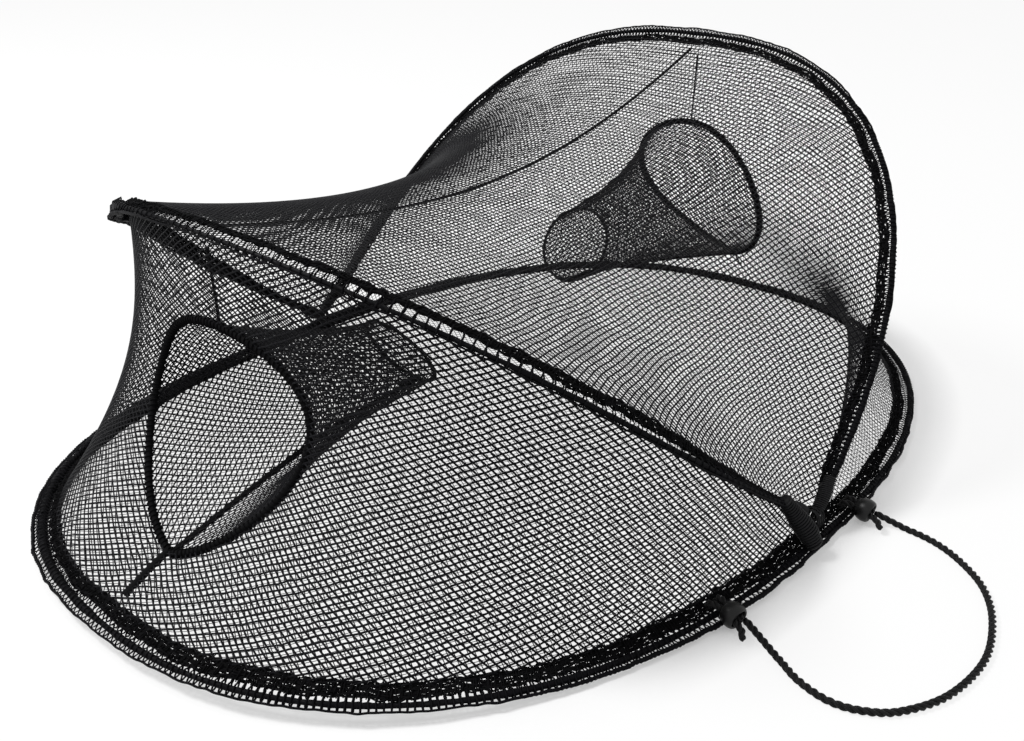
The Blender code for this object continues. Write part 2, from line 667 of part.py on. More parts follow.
def build_stop(name, stop, materials):
    """Turned rubber stop with a dished outer face, gripping a cord loop round the hem."""
    half = STOP_LENGTH / 2
    outer, bore, dish = STOP_DIAMETER / 2, STOP_BORE / 2, STOP_DISH / 2
    profile = [(-half, outer * 0.72), (-half * 0.55, outer * 0.96), (0.0, outer), (half * 0.7, outer),
               (half, outer * 0.9), (half, dish), (half * 0.6, bore), (-half, bore)]
    rings = []
    for k in range(STOP_SIDES):
        turn = 2 * math.pi * k / STOP_SIDES
        spoke = math.cos(turn) * stop.along + math.sin(turn) * stop.upright
        rings.append([stop.centre + out * stop.axis + radius * spoke for out, radius in profile])
    add_object(name + "_cord_stop", skin(rings, True), materials["rubber"])

    near = -STRAND_SPACING / 2
    wide = -LOOP_SPREAD / 2
    face = half + 0.0005
    over = 2 * BASE_HEM_HALF + CLEARANCE + ROPE_DIAMETER / 2
    route = [
        stop.at(near - TAIL_SPREAD, face + TAIL_LENGTH, -TAIL_SPREAD * 0.2),
        stop.at(near - TAIL_SPREAD * 0.3, face + TAIL_LENGTH * 0.45),
        stop.at(near, 0.0),
        stop.at(near, -face),
        stop.on_hem(wide, LOOP_REACH * 0.45, over + 0.0010),
        stop.on_hem(wide, LOOP_REACH, over * 0.80),
        stop.on_hem(wide * 0.6, LOOP_REACH, LOOP_DEPTH * 0.85),
        stop.on_hem(0.0, LOOP_REACH, LOOP_DEPTH * 0.72),
        stop.on_hem(-wide * 0.6, LOOP_REACH, LOOP_DEPTH * 0.85),
        stop.on_hem(-wide, LOOP_REACH, over * 0.80),
        stop.on_hem(-wide, LOOP_REACH * 0.45, over + 0.0010),
        stop.at(-near, -face),
        stop.at(-near, 0.0),
        stop.at(-near, face),
    ]
    add_cord(name + "_cord_loop", route, ROPE_DIAMETER, ROPE_DIAMETER * 0.9, materials["rope"])
    return stop.at(-near, face + CLEARANCE), stop.at(-near, face + CLEARANCE + ROPE_DIAMETER)


def build_handle(base_hem, materials):
    """Carrying rope that lies on the floor from one stop to the other."""
    front_stop, rear_stop = Stop(FRONT_STOP_X), Stop(REAR_STOP_X)
    cut_slot(base_hem, "front", front_stop)
    cut_slot(base_hem, "rear", rear_stop)
    start, after_start = build_stop("front", front_stop, materials)
    finish, before_finish = build_stop("rear", rear_stop, materials)
    floor = ROPE_DIAMETER / 2 + CORD_LIFT
    route = [
        start,
        after_start,
        (-0.1040, -0.2462, floor),
        (-0.1110, -0.2600, floor),
        (-0.1140, -0.2760, floor),
        (-0.1100, -0.2900, floor),
        (-0.0990, -0.3030, floor),
        (-0.0750, -0.3145, floor),
        (-0.0420, -0.3175, floor),
        (-0.0110, -0.3095, floor),
        (0.0110, -0.2970, floor),
        (0.0250, -0.2810, floor),
        (0.0335, -0.2640, floor),
        (0.0360, -0.2460, floor),
        before_finish,
        finish,
    ]
    add_cord("handle_rope", route, ROPE_DIAMETER, ROPE_DIAMETER * 2.2, materials["rope"])


def build_nets(materials):
    tuck = NET_THICKNESS / 2 + CLEARANCE / 2
    floor_grid = stretch_net(base_front, base_rear, -tuck, -tuck, FLOOR_NET_ROWS, FLOOR_PULL)
    add_net("floor_net", floor_grid, materials["net"])
    top_grid = stretch_net(front_arch, rear_arch, tuck, tuck, TOP_NET_ROWS, TOP_PULL)
    add_net("top_net", top_grid, materials["net"])
    add_seam("top_seam", top_grid, [1, TOP_NET_ROWS + 1], 0, materials["band"], SEAM_TRIM / 3, SEAM_TRIM / 3)
    build_wall("front", base_front, front_arch, front_mouth, FRONT_WALL_PULL, materials)
    build_wall("rear", base_rear, rear_arch, rear_mouth, REAR_WALL_PULL, materials)


def main():
    for obj in list(bpy.data.objects):
        bpy.data.objects.remove(obj, do_unlink=True)
    materials = {
        "wire": make_material("spring wire", (0.030, 0.030, 0.032), 0.45, 0.6),
        "hem": make_material("hem cloth", (0.016, 0.016, 0.018), 0.75),
        "band": make_material("sewn band", (0.010, 0.010, 0.011), 0.85),
        "net": make_material("netting", (0.022, 0.022, 0.024), 0.60),
        "cord": make_material("hinge cord", (0.014, 0.014, 0.015), 0.80),
        "rope": make_material("rope", (0.012, 0.012, 0.013), 0.55),
        "rubber": make_material("rubber stop", (0.020, 0.020, 0.021), 0.50),
    }
    base_hem = build_base(materials)
    build_arch("front_arch", front_arch, FRONT_EYE_Y, materials)
    build_arch("rear_arch", rear_arch, REAR_EYE_Y, materials)
    build_hinge_tie("near_hinge_tie", -1, materials)
    build_hinge_tie("far_hinge_tie", 1, materials)
    build_nets(materials)
    build_funnel("front", front_mouth, FRONT_THROAT_CENTRE, materials)
    build_funnel("rear", rear_mouth, REAR_THROAT_CENTRE, materials)
    build_handle(base_hem, materials)


main()
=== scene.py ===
# %% [markdown]
# # A folding crayfish trap, dressed for its picture
#
# The trap is three sprung hoops under black netting: an oval base that lies on the floor and two
# arches that hinge across it. A funnel goes in through each end wall, and a short rope is held by
# two rubber stops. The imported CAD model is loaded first. It never moves: every visible piece below
# is worked out in metres in the same frame and laid over the solid that it stands for.

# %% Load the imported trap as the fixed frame
import math

import bpy
import numpy as np
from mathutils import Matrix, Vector


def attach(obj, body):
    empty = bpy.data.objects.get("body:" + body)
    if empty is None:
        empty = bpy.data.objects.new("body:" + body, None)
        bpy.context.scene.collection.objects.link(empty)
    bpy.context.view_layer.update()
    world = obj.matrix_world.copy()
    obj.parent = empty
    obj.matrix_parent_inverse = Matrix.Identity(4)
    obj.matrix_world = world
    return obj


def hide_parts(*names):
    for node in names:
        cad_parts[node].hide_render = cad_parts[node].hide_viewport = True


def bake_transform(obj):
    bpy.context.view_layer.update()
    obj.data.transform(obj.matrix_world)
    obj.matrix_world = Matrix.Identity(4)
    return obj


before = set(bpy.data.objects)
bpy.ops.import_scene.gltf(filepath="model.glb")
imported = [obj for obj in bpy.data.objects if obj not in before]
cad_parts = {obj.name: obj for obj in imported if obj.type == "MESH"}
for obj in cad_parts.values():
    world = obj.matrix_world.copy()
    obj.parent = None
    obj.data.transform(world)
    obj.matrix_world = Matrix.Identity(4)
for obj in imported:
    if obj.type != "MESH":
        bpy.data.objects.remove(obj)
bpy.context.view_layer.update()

scene = bpy.context.scene
scene.view_settings.view_transform = "Standard"
UP = np.array([0.0, 0.0, 1.0])
ACROSS = np.array([0.0, 1.0, 0.0])

# %% [markdown]
# The camera stands where the photograph was taken from: in front of the trap, to the rope's side
# and a little above it. Its place and direction were found by fitting the base oval and both arches
# to the picture, so the lens is worked out from the fitted focal length and the picture's width.

# %% The camera
CAMERA_PLACE = (-0.47770, -0.41721, 0.33776)
CAMERA_AHEAD = (0.67089, 0.60100, -0.43439)
FOCAL_PIXELS = 1088.44
PICTURE_WIDTH = 1024

camera = bpy.data.objects.new("camera", bpy.data.cameras.new("camera"))
camera.data.lens = FOCAL_PIXELS / PICTURE_WIDTH * camera.data.sensor_width
camera.data.clip_start = 0.01
camera.location = CAMERA_PLACE
camera.rotation_euler = Vector(CAMERA_AHEAD).to_track_quat("-Z", "Y").to_euler()
scene.collection.objects.link(camera)
scene.camera = camera
print("lens:", round(camera.data.lens, 2), "mm")

# %% [markdown]
# A finish is a material whose colour, roughness and relief come from nodes. Sums of node values are
# easier to read as Python sums, so one small class wraps a node's output and turns +, -, * and the
# rest into Math nodes. Another holds the material and makes any other node from its type, its
# settings and the values or links of its sockets.

# %% Shader sums as Python sums
class Signal:
    """A number that comes out of a node of one finish."""

    def __init__(self, finish, socket):
        self.finish = finish
        self.socket = socket

    def sum(self, operation, first, second=0.0):
        return self.finish.number("ShaderNodeMath", {"operation": operation}, {0: first, 1: second})

    def __add__(self, other):
        return self.sum("ADD", self, other)

    def __radd__(self, other):
        return self.sum("ADD", other, self)

    def __sub__(self, other):
        return self.sum("SUBTRACT", self, other)

    def __rsub__(self, other):
        return self.sum("SUBTRACT", other, self)

    def __mul__(self, other):
        return self.sum("MULTIPLY", self, other)

    def __rmul__(self, other):
        return self.sum("MULTIPLY", other, self)

    def __pow__(self, other):
        return self.sum("POWER", self, other)

    def __abs__(self):
        return self.sum("ABSOLUTE", self)


class Finish:
    """One material: its node tree, its shader and the sockets that vary over the surface."""

    def __init__(self, name, **constants):
        self.material = bpy.data.materials.new(name)
        self.material.use_nodes = True
        self.tree = self.material.node_tree
        self.shader = self.tree.nodes["Principled BSDF"]
        for socket, value in constants.items():
            self.shader.inputs[socket.replace("_", " ")].default_value = value

    def feed(self, socket, value):
        if isinstance(value, Signal):
            value = value.socket
        if isinstance(value, bpy.types.NodeSocket):
            self.tree.links.new(value, socket)
        else:
            socket.default_value = value

    def node(self, kind, settings=None, inputs=None):
        made = self.tree.nodes.new(kind)
        for name, value in (settings or {}).items():
            if name == "stops":
                for spot, (place, colour) in zip(made.color_ramp.elements, value):
                    spot.position, spot.color = place, colour
            else:
                setattr(made, name, value)
        for name, value in (inputs or {}).items():
            self.feed(made.inputs[name], value)
        return made

    def number(self, kind, settings=None, inputs=None, output=0):
        return Signal(self, self.node(kind, settings, inputs).outputs[output])

    def clamped(self, value):
        return self.number("ShaderNodeClamp", None, {0: value})

    def wear(self, places, scale, detail=2.0):
        """Even noise from 0 to 1 over the piece, in the piece's own metres."""
        return self.number("ShaderNodeTexNoise", None, {"Vector": places, "Scale": scale, "Detail": detail})

    def colour(self, amount, low, high):
        """Colour from low to high as amount goes from 0 to 1."""
        mix = self.node("ShaderNodeMix", {"data_type": "RGBA"}, {0: amount, 6: (*low, 1.0), 7: (*high, 1.0)})
        self.feed(self.shader.inputs["Base Color"], mix.outputs[2])

    def relief(self, height, distance, strength=1.0):
        bump = self.node("ShaderNodeBump", None, {"Height": height, "Distance": distance, "Strength": strength})
        self.feed(self.shader.inputs["Normal"], bump.outputs[0])


print("shader sums ready")

# %% [markdown]
# Everything is black, so the finishes differ in gloss and grain more than in colour. The netting is
# a slightly glossy plastic yarn that goes grey where the light grazes it. The sewn bands are dull
# and fuzzy, the rope has a soft sheen and fibres that follow its strands, the wire is coated and the
# stops are satin rubber with faint dust. Each reads object coordinates or an attribute of the piece.

# %% Finishes of the netting, the sewing, the wire, the rope and the rubber
def yarn_finish(name, low, high, roughness, grain, gloss=0.03, sheen=0.0):
    """Plastic yarn: slow and fast noise mix the colour, fast noise lifts fibres."""
    finish = Finish(name, Specular_IOR_Level=gloss, Sheen_Weight=sheen, Sheen_Roughness=0.35)
    finish.shader.inputs["Sheen Tint"].default_value = (0.55, 0.56, 0.62, 1.0)
    here = finish.node("ShaderNodeTexCoord").outputs["Object"]
    patches = finish.wear(here, 38.0)
    fibres = finish.wear(here, grain, 3.0)
    finish.colour(0.55 * patches + 0.45 * fibres, low, high)
    finish.feed(finish.shader.inputs["Roughness"], roughness + 0.18 * patches - 0.09)
    finish.relief(fibres, 0.0002, 0.6)
    return finish.material


def rope_finish():
    """Laid rope: fibres run along each strand, read from the attribute `lay` of the rope's own mesh."""
    finish = Finish("laid_rope", Specular_IOR_Level=0.14, Sheen_Weight=0.03, Sheen_Roughness=0.4)
    lay = finish.node("ShaderNodeAttribute", {"attribute_name": "lay"}).outputs["Vector"]
    stretched = finish.node("ShaderNodeMapping", None, {"Vector": lay, "Scale": (60.0, 9.0, 9.0)}).outputs[0]
    fibres = finish.wear(stretched, 1.6, 4.0)
    here = finish.node("ShaderNodeTexCoord").outputs["Object"]
    dust = finish.wear(here, 120.0)
    finish.colour(0.7 * fibres + 0.3 * dust, (0.002, 0.002, 0.002), (0.013, 0.013, 0.014))
    finish.feed(finish.shader.inputs["Roughness"], 0.34 + 0.25 * fibres)
    finish.relief(fibres, 0.0004, 0.7)
    return finish.material


def wire_finish():
    """Dipped spring wire: nearly smooth, with shallow drips and worn, duller patches."""
    finish = Finish("coated_wire", Specular_IOR_Level=0.06, Metallic=0.0)
    here = finish.node("ShaderNodeTexCoord").outputs["Object"]
    drips = finish.wear(here, 160.0)
    worn = finish.wear(here, 22.0)
    finish.colour(worn, (0.004, 0.004, 0.0045), (0.012, 0.012, 0.013))
    finish.feed(finish.shader.inputs["Roughness"], 0.34 + 0.26 * worn)
    finish.relief(drips, 0.0004, 0.35)
    return finish.material


def rubber_finish():
    """Moulded rubber: satin, with fine pores and grey dust in patches."""
    finish = Finish("moulded_rubber", Specular_IOR_Level=0.24, Coat_Weight=0.0)
    here = finish.node("ShaderNodeTexCoord").outputs["Object"]
    pores = finish.wear(here, 1500.0)
    dust = finish.wear(here, 240.0, 4.0)
    finish.colour(dust**3.0, (0.003, 0.003, 0.003), (0.020, 0.020, 0.021))
    finish.feed(finish.shader.inputs["Roughness"], 0.26 + 0.24 * dust)
    finish.relief(0.6 * pores + 0.4 * dust, 0.0003, 0.4)
    return finish.material


NETTING = yarn_finish("netting_yarn", (0.002, 0.002, 0.0025), (0.008, 0.008, 0.010), 0.50, 900.0, 0.07, 0.04)
HEM_YARN = yarn_finish("hem_yarn", (0.002, 0.002, 0.002), (0.009, 0.009, 0.011), 0.52, 900.0)
SEWING = yarn_finish("sewing_thread", (0.002, 0.002, 0.002), (0.008, 0.008, 0.009), 0.70, 1400.0)
LASHING = yarn_finish("lashing_thread", (0.005, 0.005, 0.005), (0.022, 0.022, 0.024), 0.50, 1100.0, 0.12, 0.03)
ROPE = rope_finish()
WIRE = wire_finish()
RUBBER = rubber_finish()
print("finishes:", len(bpy.data.materials))

# %% [markdown]
# Every surface is an array of places and blocks of faces, written into a mesh at once. A sweep
# carries a closed section along a line and gives the rings of a tube, a strip or a rope. A third
# helper does the same for hundreds of short yarns together, because netting is nothing but yarns.

# %% From arrays to meshes
def unit(vectors):
    return vectors / np.linalg.norm(vectors, axis=-1, keepdims=True)


def travelled(line):
    """Distance from the line's start to each of its places: the sum of the steps before it."""
    return np.concatenate([[0.0], np.cumsum(np.linalg.norm(np.diff(line, axis=0), axis=1))])


def add_piece(name, places, blocks, material):
    """Mesh object from an array of places and blocks of faces, each block with one corner count."""
    places = np.asarray(places, dtype=np.float32).reshape(-1, 3)
    blocks = [np.asarray(block, dtype=np.int32) for block in blocks if len(block)]
    corners = np.concatenate([block.ravel() for block in blocks])
    sizes = np.concatenate([np.full(len(block), block.shape[1]) for block in blocks])
    starts = (np.cumsum(sizes) - sizes).astype(np.int32)
    mesh = bpy.data.meshes.new(name)
    mesh.vertices.add(len(places))
    mesh.vertices.foreach_set("co", places.ravel())
    mesh.loops.add(len(corners))
    mesh.loops.foreach_set("vertex_index", corners)
    mesh.polygons.add(len(sizes))
    mesh.polygons.foreach_set("loop_start", starts)
    mesh.update(calc_edges=True)
    mesh.shade_smooth()
    mesh.materials.append(material)
    piece = bpy.data.objects.new(name, mesh)
    scene.collection.objects.link(piece)
    triangles = int(np.sum(sizes - 2))
    print(f"{name}: {triangles} triangles")
    return piece


def ahead_of(line, closed=False):
    """Unit directions along a line: from the place before each place to the place after it."""
    if closed:
        return unit(np.roll(line, -1, axis=0) - np.roll(line, 1, axis=0))
    return unit(np.gradient(line, axis=0))


def sweep(line, out, lift, section, closed=False):
    """Rings line + a * out + b * lift for each corner (a, b) of the section, skinned with quads."""
    section = np.broadcast_to(section, (len(line), *np.shape(section)[-2:]))
    rings = line[:, None] + section[..., :1] * out[:, None] + section[..., 1:] * lift[:, None]
    index = np.arange(rings.shape[0] * rings.shape[1]).reshape(rings.shape[:2])
    beside = np.roll(index, -1, axis=1)
    if closed:
        here, there, here_side, there_side = index, np.roll(index, -1, 0), beside, np.roll(beside, -1, 0)
        ends = []
    else:
        here, there, here_side, there_side = index[:-1], index[1:], beside[:-1], beside[1:]
        ends = np.array([index[0][::-1], index[-1]])
    quads = np.stack([here, here_side, there_side, there], axis=-1).reshape(-1, 4)
    handed = np.sum(np.cross(lift, ahead_of(line, closed)) * out)
    if handed < 0:
        quads, ends = quads[:, ::-1], [end[::-1] for end in ends]
    return rings.reshape(-1, 3), [quads, ends]


def gather(parts):
    """Several (places, blocks) as one, with the faces of each pointing at their own places."""
    places, blocks, first = [], [], 0
    for some, faces in parts:
        places.append(some)
        blocks += [np.asarray(block) + first for block in faces if len(block)]
        first += len(some)
    return np.concatenate(places), blocks


def round_section(radius, sides):
    turn = 2 * math.pi * np.arange(sides) / sides
    return np.stack([radius * np.cos(turn), radius * np.sin(turn)], axis=-1)


def yarns(lines, faces_up, width, height):
    """Four-sided yarns along many lines at once: wide across the surface, low above it, ends closed."""
    lengths = np.array([len(line) for line in lines])
    places = np.concatenate(lines)
    lift = unit(np.concatenate(faces_up))
    along = np.concatenate([ahead_of(line) for line in lines])
    out = unit(np.cross(lift, along))
    lift = np.cross(along, out)
    corners = np.array([[width / 2, 0], [0, height / 2], [-width / 2, 0], [0, -height / 2]])
    rings = places[:, None] + corners[:, :1] * out[:, None] + corners[:, 1:] * lift[:, None]
    index = np.arange(len(places) * 4).reshape(-1, 4)
    last = np.cumsum(lengths) - 1
    joined = np.ones(len(places), dtype=bool)
    joined[last] = False
    here, there = index[joined], index[np.flatnonzero(joined) + 1]
    quads = np.stack([here, np.roll(here, -1, 1), np.roll(there, -1, 1), there], axis=-1).reshape(-1, 4)
    ends = np.concatenate([index[last - lengths + 1][:, ::-1], index[last]])
    return rings.reshape(-1, 3), [quads, ends]


def drift(places, wavelength, seed):
    """Smooth random vectors: a sum of six plane sine waves near one wavelength, of size about one."""
    dice = np.random.default_rng(seed)
    waves = unit(dice.normal(size=(6, 3))) * 2 * math.pi / wavelength * dice.uniform(0.6, 1.5, (6, 1))
    push = dice.normal(size=(6, 3)) / math.sqrt(6)
    phase = dice.uniform(0, 2 * math.pi, 6)
    return np.sin(places @ waves.T + phase) @ push


print("mesh helpers ready")

# %% [markdown]
# The hoops are half ovals whose roundness is between an ellipse and a rectangle. The same sizes are
# in the CAD source. A course is one such hoop with, at every distance along it, its centre, the
# direction out of its hem and the direction above its hem. The base hem leans up at the front end,
# where the end wall pulls it. In the photograph that end also stands a few millimetres off the floor
# with a shadow under it, so it is lifted here, while the CAD hoop lies flat.

# %% Sizes shared with the CAD, in metres, and the courses of the three hoops
BASE_HEM_HALF = 0.0029938
ARCH_HEM_HALF = 0.0028783
BASE_REACH = 0.305 - BASE_HEM_HALF
BASE_HALF_SPAN = 0.218 - BASE_HEM_HALF
BASE_ROUNDNESS = 2.34
ARCH_REACH = 0.281 - ARCH_HEM_HALF
ARCH_ROUNDNESS = 2.48
ARCH_BOW = 0.0040
FRONT_EYE_Y = 0.2037
REAR_EYE_Y = 0.2085
FRONT_TILT = math.radians(37.1)
REAR_TILT = math.radians(48.8)
HINGE_HEIGHT = 0.012288
BASE_WIRE_RADIUS = 0.0012
ARCH_WIRE_RADIUS = 0.0010
FRONT_LIFT = 0.0064
FRONT_HEM_LEAN = math.radians(28)
REAR_HEM_LEAN = math.radians(6)
APEX_LEAN = math.radians(62)
HINGE_LEAN = math.radians(12)
LEAN_SHARE = 0.55


def ease(x):
    x = np.clip(x, 0.0, 1.0)
    return x * x * (3 - 2 * x)


class Course:
    """A hoop's centreline with the directions out of and above its hem, found by distance."""

    def __init__(self, centre, out, lift, closed=False):
        self.tables = np.concatenate([centre, out, lift], axis=1)
        self.distance = travelled(centre)
        self.length = self.distance[-1]
        self.closed = closed

    def at(self, distance):
        distance = np.mod(distance, self.length) if self.closed else distance
        found = np.stack([np.interp(distance, self.distance, column) for column in self.tables.T], axis=-1)
        return found[..., :3], unit(found[..., 3:6]), unit(found[..., 6:])

    def place(self, distance, out, above):
        centre, outwards, lift = self.at(distance)
        return centre + np.asarray(out)[..., None] * outwards + np.asarray(above)[..., None] * lift


def base_course():
    """Closed oval x = -R sin(p)^(2/n), y = -S cos(p)^(2/n), its hem leaning up where the ends pull it."""
    p = np.linspace(0.0, 2 * math.pi, 12001)
    power = 2 / BASE_ROUNDNESS
    x = -BASE_REACH * np.sign(np.sin(p)) * np.abs(np.sin(p)) ** power
    y = -BASE_HALF_SPAN * np.sign(np.cos(p)) * np.abs(np.cos(p)) ** power
    centre = np.stack([x, y, np.full_like(x, BASE_HEM_HALF)], axis=1)
    along = unit(np.roll(centre, -40, axis=0) - np.roll(centre, 40, axis=0))
    along[0] = along[-1] = (-1.0, 0.0, 0.0)
    out = np.cross(UP, along)
    end = np.abs(x) / BASE_REACH
    lift = np.where(x < 0, FRONT_LIFT, 0.0) * ease((end - 0.5) / 0.5)
    centre[:, 2] += lift
    lean = np.where(x < 0, FRONT_HEM_LEAN, REAR_HEM_LEAN) * end**2
    lean = lean[:, None]
    return Course(centre, out * np.cos(lean) - UP * np.sin(lean),
                  UP * np.cos(lean) + out * np.sin(lean), True)


def arch_drop(reach):
    """How far the netting's pull bows an arch below its plane: B (27 / 4) s (1 - s)^2 at s = r / R."""
    share = np.clip(reach / ARCH_REACH, 0.0, 1.0)
    return ARCH_BOW * 27 / 4 * share * (1 - share) ** 2


def arch_course(side, tilt, half_span, apex_lean, hinge_lean):
    """Half oval in its tilted plane, from the near hinge to the far one, its hem leaning to the top net."""
    p = np.linspace(0.0, math.pi, 6001)
    power = 2 / ARCH_ROUNDNESS
    reach = ARCH_REACH * np.abs(np.sin(p)) ** power
    y = -half_span * np.sign(np.cos(p)) * np.abs(np.cos(p)) ** power
    outwards = np.array([side * math.cos(tilt), 0.0, math.sin(tilt)])
    upwards = np.array([-side * math.sin(tilt), 0.0, math.cos(tilt)])
    centre = UP * HINGE_HEIGHT + reach[:, None] * outwards + y[:, None] * ACROSS
    centre = centre - arch_drop(reach)[:, None] * upwards
    steps = unit(np.gradient(np.stack([reach, y], axis=1), axis=0))
    out = steps[:, 1:] * outwards - steps[:, :1] * ACROSS
    risen = np.minimum(1.0, reach / ARCH_REACH / LEAN_SHARE) ** 1.5
    lean = (hinge_lean + (apex_lean - hinge_lean) * risen)[:, None]
    return Course(centre, out * np.cos(lean) - upwards * np.sin(lean),
                  upwards * np.cos(lean) + out * np.sin(lean))


base = base_course()
front_arch = arch_course(-1, FRONT_TILT, FRONT_EYE_Y, APEX_LEAN, HINGE_LEAN)
rear_arch = arch_course(1, REAR_TILT, REAR_EYE_Y, 0.0, 0.0)
half_way = base.distance[6000]
print("hoops:", round(base.length, 3), round(front_arch.length, 3), round(rear_arch.length, 3), "m")

# %% [markdown]
# The carrying rope comes first, because free cords decide whether the picture's frame holds. Each
# stop is a turned rubber bead that stands on the floor against the hem. The rope goes through it,
# over the hem and down behind the hoop wire, back through the same bead, and ends in a short cut
# tail. The route's points are the same as in the CAD source.

# %% Places of the rope and its stops
ROPE_DIAMETER = 0.0038
FRONT_STOP_X = -0.0955
REAR_STOP_X = 0.0305
STOP_DIAMETER = 0.0130
STOP_LENGTH = 0.0090
STOP_BORE = 0.0090
STOP_DISH = 0.0100
STOP_STANDOFF = 0.0055
STOP_TILT = math.radians(11.5)
STRAND_SPACING = 0.0042
LOOP_SPREAD = 0.0062
LOOP_REACH = 0.0041
LOOP_DEPTH = 0.0043
TAIL_LENGTH = 0.0085
TAIL_SPREAD = 0.0055
CLEARANCE = 0.0003
CORD_LIFT = 0.0001


class Stop:
    """Frame of one rope stop: `at` goes along the hoop, out along the bore and up its face."""

    def __init__(self, x):
        p = np.linspace(0.0, math.pi / 2, 6001)
        reach = BASE_REACH * np.sin(p) ** (2 / BASE_ROUNDNESS)
        spot = float(np.interp(abs(x), reach, p))
        power = 2 / BASE_ROUNDNESS
        self.edge = np.array([x, -BASE_HALF_SPAN * math.cos(spot) ** power, BASE_HEM_HALF])
        slope = -BASE_HALF_SPAN * np.cos(p) ** power
        lean = float(np.interp(spot, p[1:-1], np.gradient(slope, reach)[1:-1]))
        self.out = unit(np.array([math.copysign(lean, x), -1.0, 0.0]))
        self.along = np.cross(UP, self.out)
        self.axis = self.out * math.cos(STOP_TILT) - UP * math.sin(STOP_TILT)
        self.upright = np.cross(self.axis, self.along)
        self.upright = self.upright * math.copysign(1.0, self.upright[2])
        flat = self.edge + self.out * (BASE_HEM_HALF + STOP_STANDOFF)
        lowest = STOP_DIAMETER / 2 * math.cos(STOP_TILT) + STOP_LENGTH / 2 * math.sin(STOP_TILT)
        self.centre = np.array([flat[0], flat[1], lowest + CLEARANCE])

    def at(self, along, out, up=0.0):
        return self.centre + along * self.along + out * self.axis + up * self.upright

    def on_hem(self, along, inwards, height):
        place = self.edge + along * self.along - inwards * self.out
        place[2] = height
        return place

    def loop_route(self):
        """From the cut tail through the bead, over the hem, down behind the wire and back through."""
        near, wide, face = -STRAND_SPACING / 2, -LOOP_SPREAD / 2, STOP_LENGTH / 2 + 0.0005
        over = 2 * BASE_HEM_HALF + CLEARANCE + ROPE_DIAMETER / 2
        tail = [self.at(near - TAIL_SPREAD, face + TAIL_LENGTH, -TAIL_SPREAD * 0.2),
                self.at(near - TAIL_SPREAD * 0.3, face + TAIL_LENGTH * 0.45)]
        bore = [(near, 0.0), (near, -face)]
        hem = [(1.0, LOOP_REACH * 0.45, over + 0.0010), (1.0, LOOP_REACH, over * 0.80),
               (0.6, LOOP_REACH, LOOP_DEPTH * 0.85)]
        going = [self.on_hem(wide * share, reach, height) for share, reach, height in hem]
        coming = [self.on_hem(-wide * share, reach, height) for share, reach, height in reversed(hem)]
        bottom = [self.on_hem(0.0, LOOP_REACH, LOOP_DEPTH * 0.72)]
        back = [self.at(-near, -face), self.at(-near, 0.0), self.at(-near, face)]
        return tail + [self.at(*spot) for spot in bore] + going + bottom + coming + back


def smooth_path(route, spacing):
    """Places at even spacing on a Catmull-Rom curve through the route's own points."""
    route = np.array(route, dtype=float)
    padded = np.vstack([2 * route[0] - route[1], route, 2 * route[-1] - route[-2]])
    p0, p1, p2, p3 = padded[:-3], padded[1:-2], padded[2:-1], padded[3:]
    t = np.linspace(0.0, 1.0, 24, endpoint=False)[:, None, None]
    fine = 0.5 * (2 * p1 + (p2 - p0) * t + (2 * p0 - 5 * p1 + 4 * p2 - p3) * t * t
                  + (3 * p1 - p0 - 3 * p2 + p3) * t**3)
    fine = np.vstack([fine.transpose(1, 0, 2).reshape(-1, 3), route[-1:]])
    travel = travelled(fine)
    targets = np.linspace(0.0, travel[-1], int(round(travel[-1] / spacing)) + 1)
    return np.stack([np.interp(targets, travel, fine[:, axis]) for axis in range(3)], axis=1)


def even_line(line, spacing):
    """The same line with its places at even spacing."""
    travel = travelled(line)
    targets = np.linspace(0.0, travel[-1], int(round(travel[-1] / spacing)) + 1)
    return np.stack([np.interp(targets, travel, line[:, axis]) for axis in range(3)], axis=1), travel[-1]


front_stop, rear_stop = Stop(FRONT_STOP_X), Stop(REAR_STOP_X)
print("stops at", front_stop.centre.round(4), rear_stop.centre.round(4))

# %% [markdown]
# Laid rope is three strands twisted together. Its section is the outline of three circles that touch,
# and that outline turns once for each lay length as it goes along, which cuts the spiral grooves. A
# plain bevelled curve would be quicker and would look like a rubber hose.

# %% The rope, its two loops and the stops
ROPE_LAY = 0.0118
STRAND_OFF_CENTRE = 0.53
STRAND_RADIUS = 0.47
ROPE_SIDES = 30


def carried_frame(line):
    """Two directions square to a line, carried along it so that they never spin about it."""
    along = ahead_of(line)
    first = unit(np.cross(along[0], UP + 0.01 * ACROSS))
    carried = [first]
    for ahead in along[1:]:
        kept = carried[-1] - np.dot(carried[-1], ahead) * ahead
        carried.append(kept / np.linalg.norm(kept))
    out = np.array(carried)
    return out, np.cross(along, out)


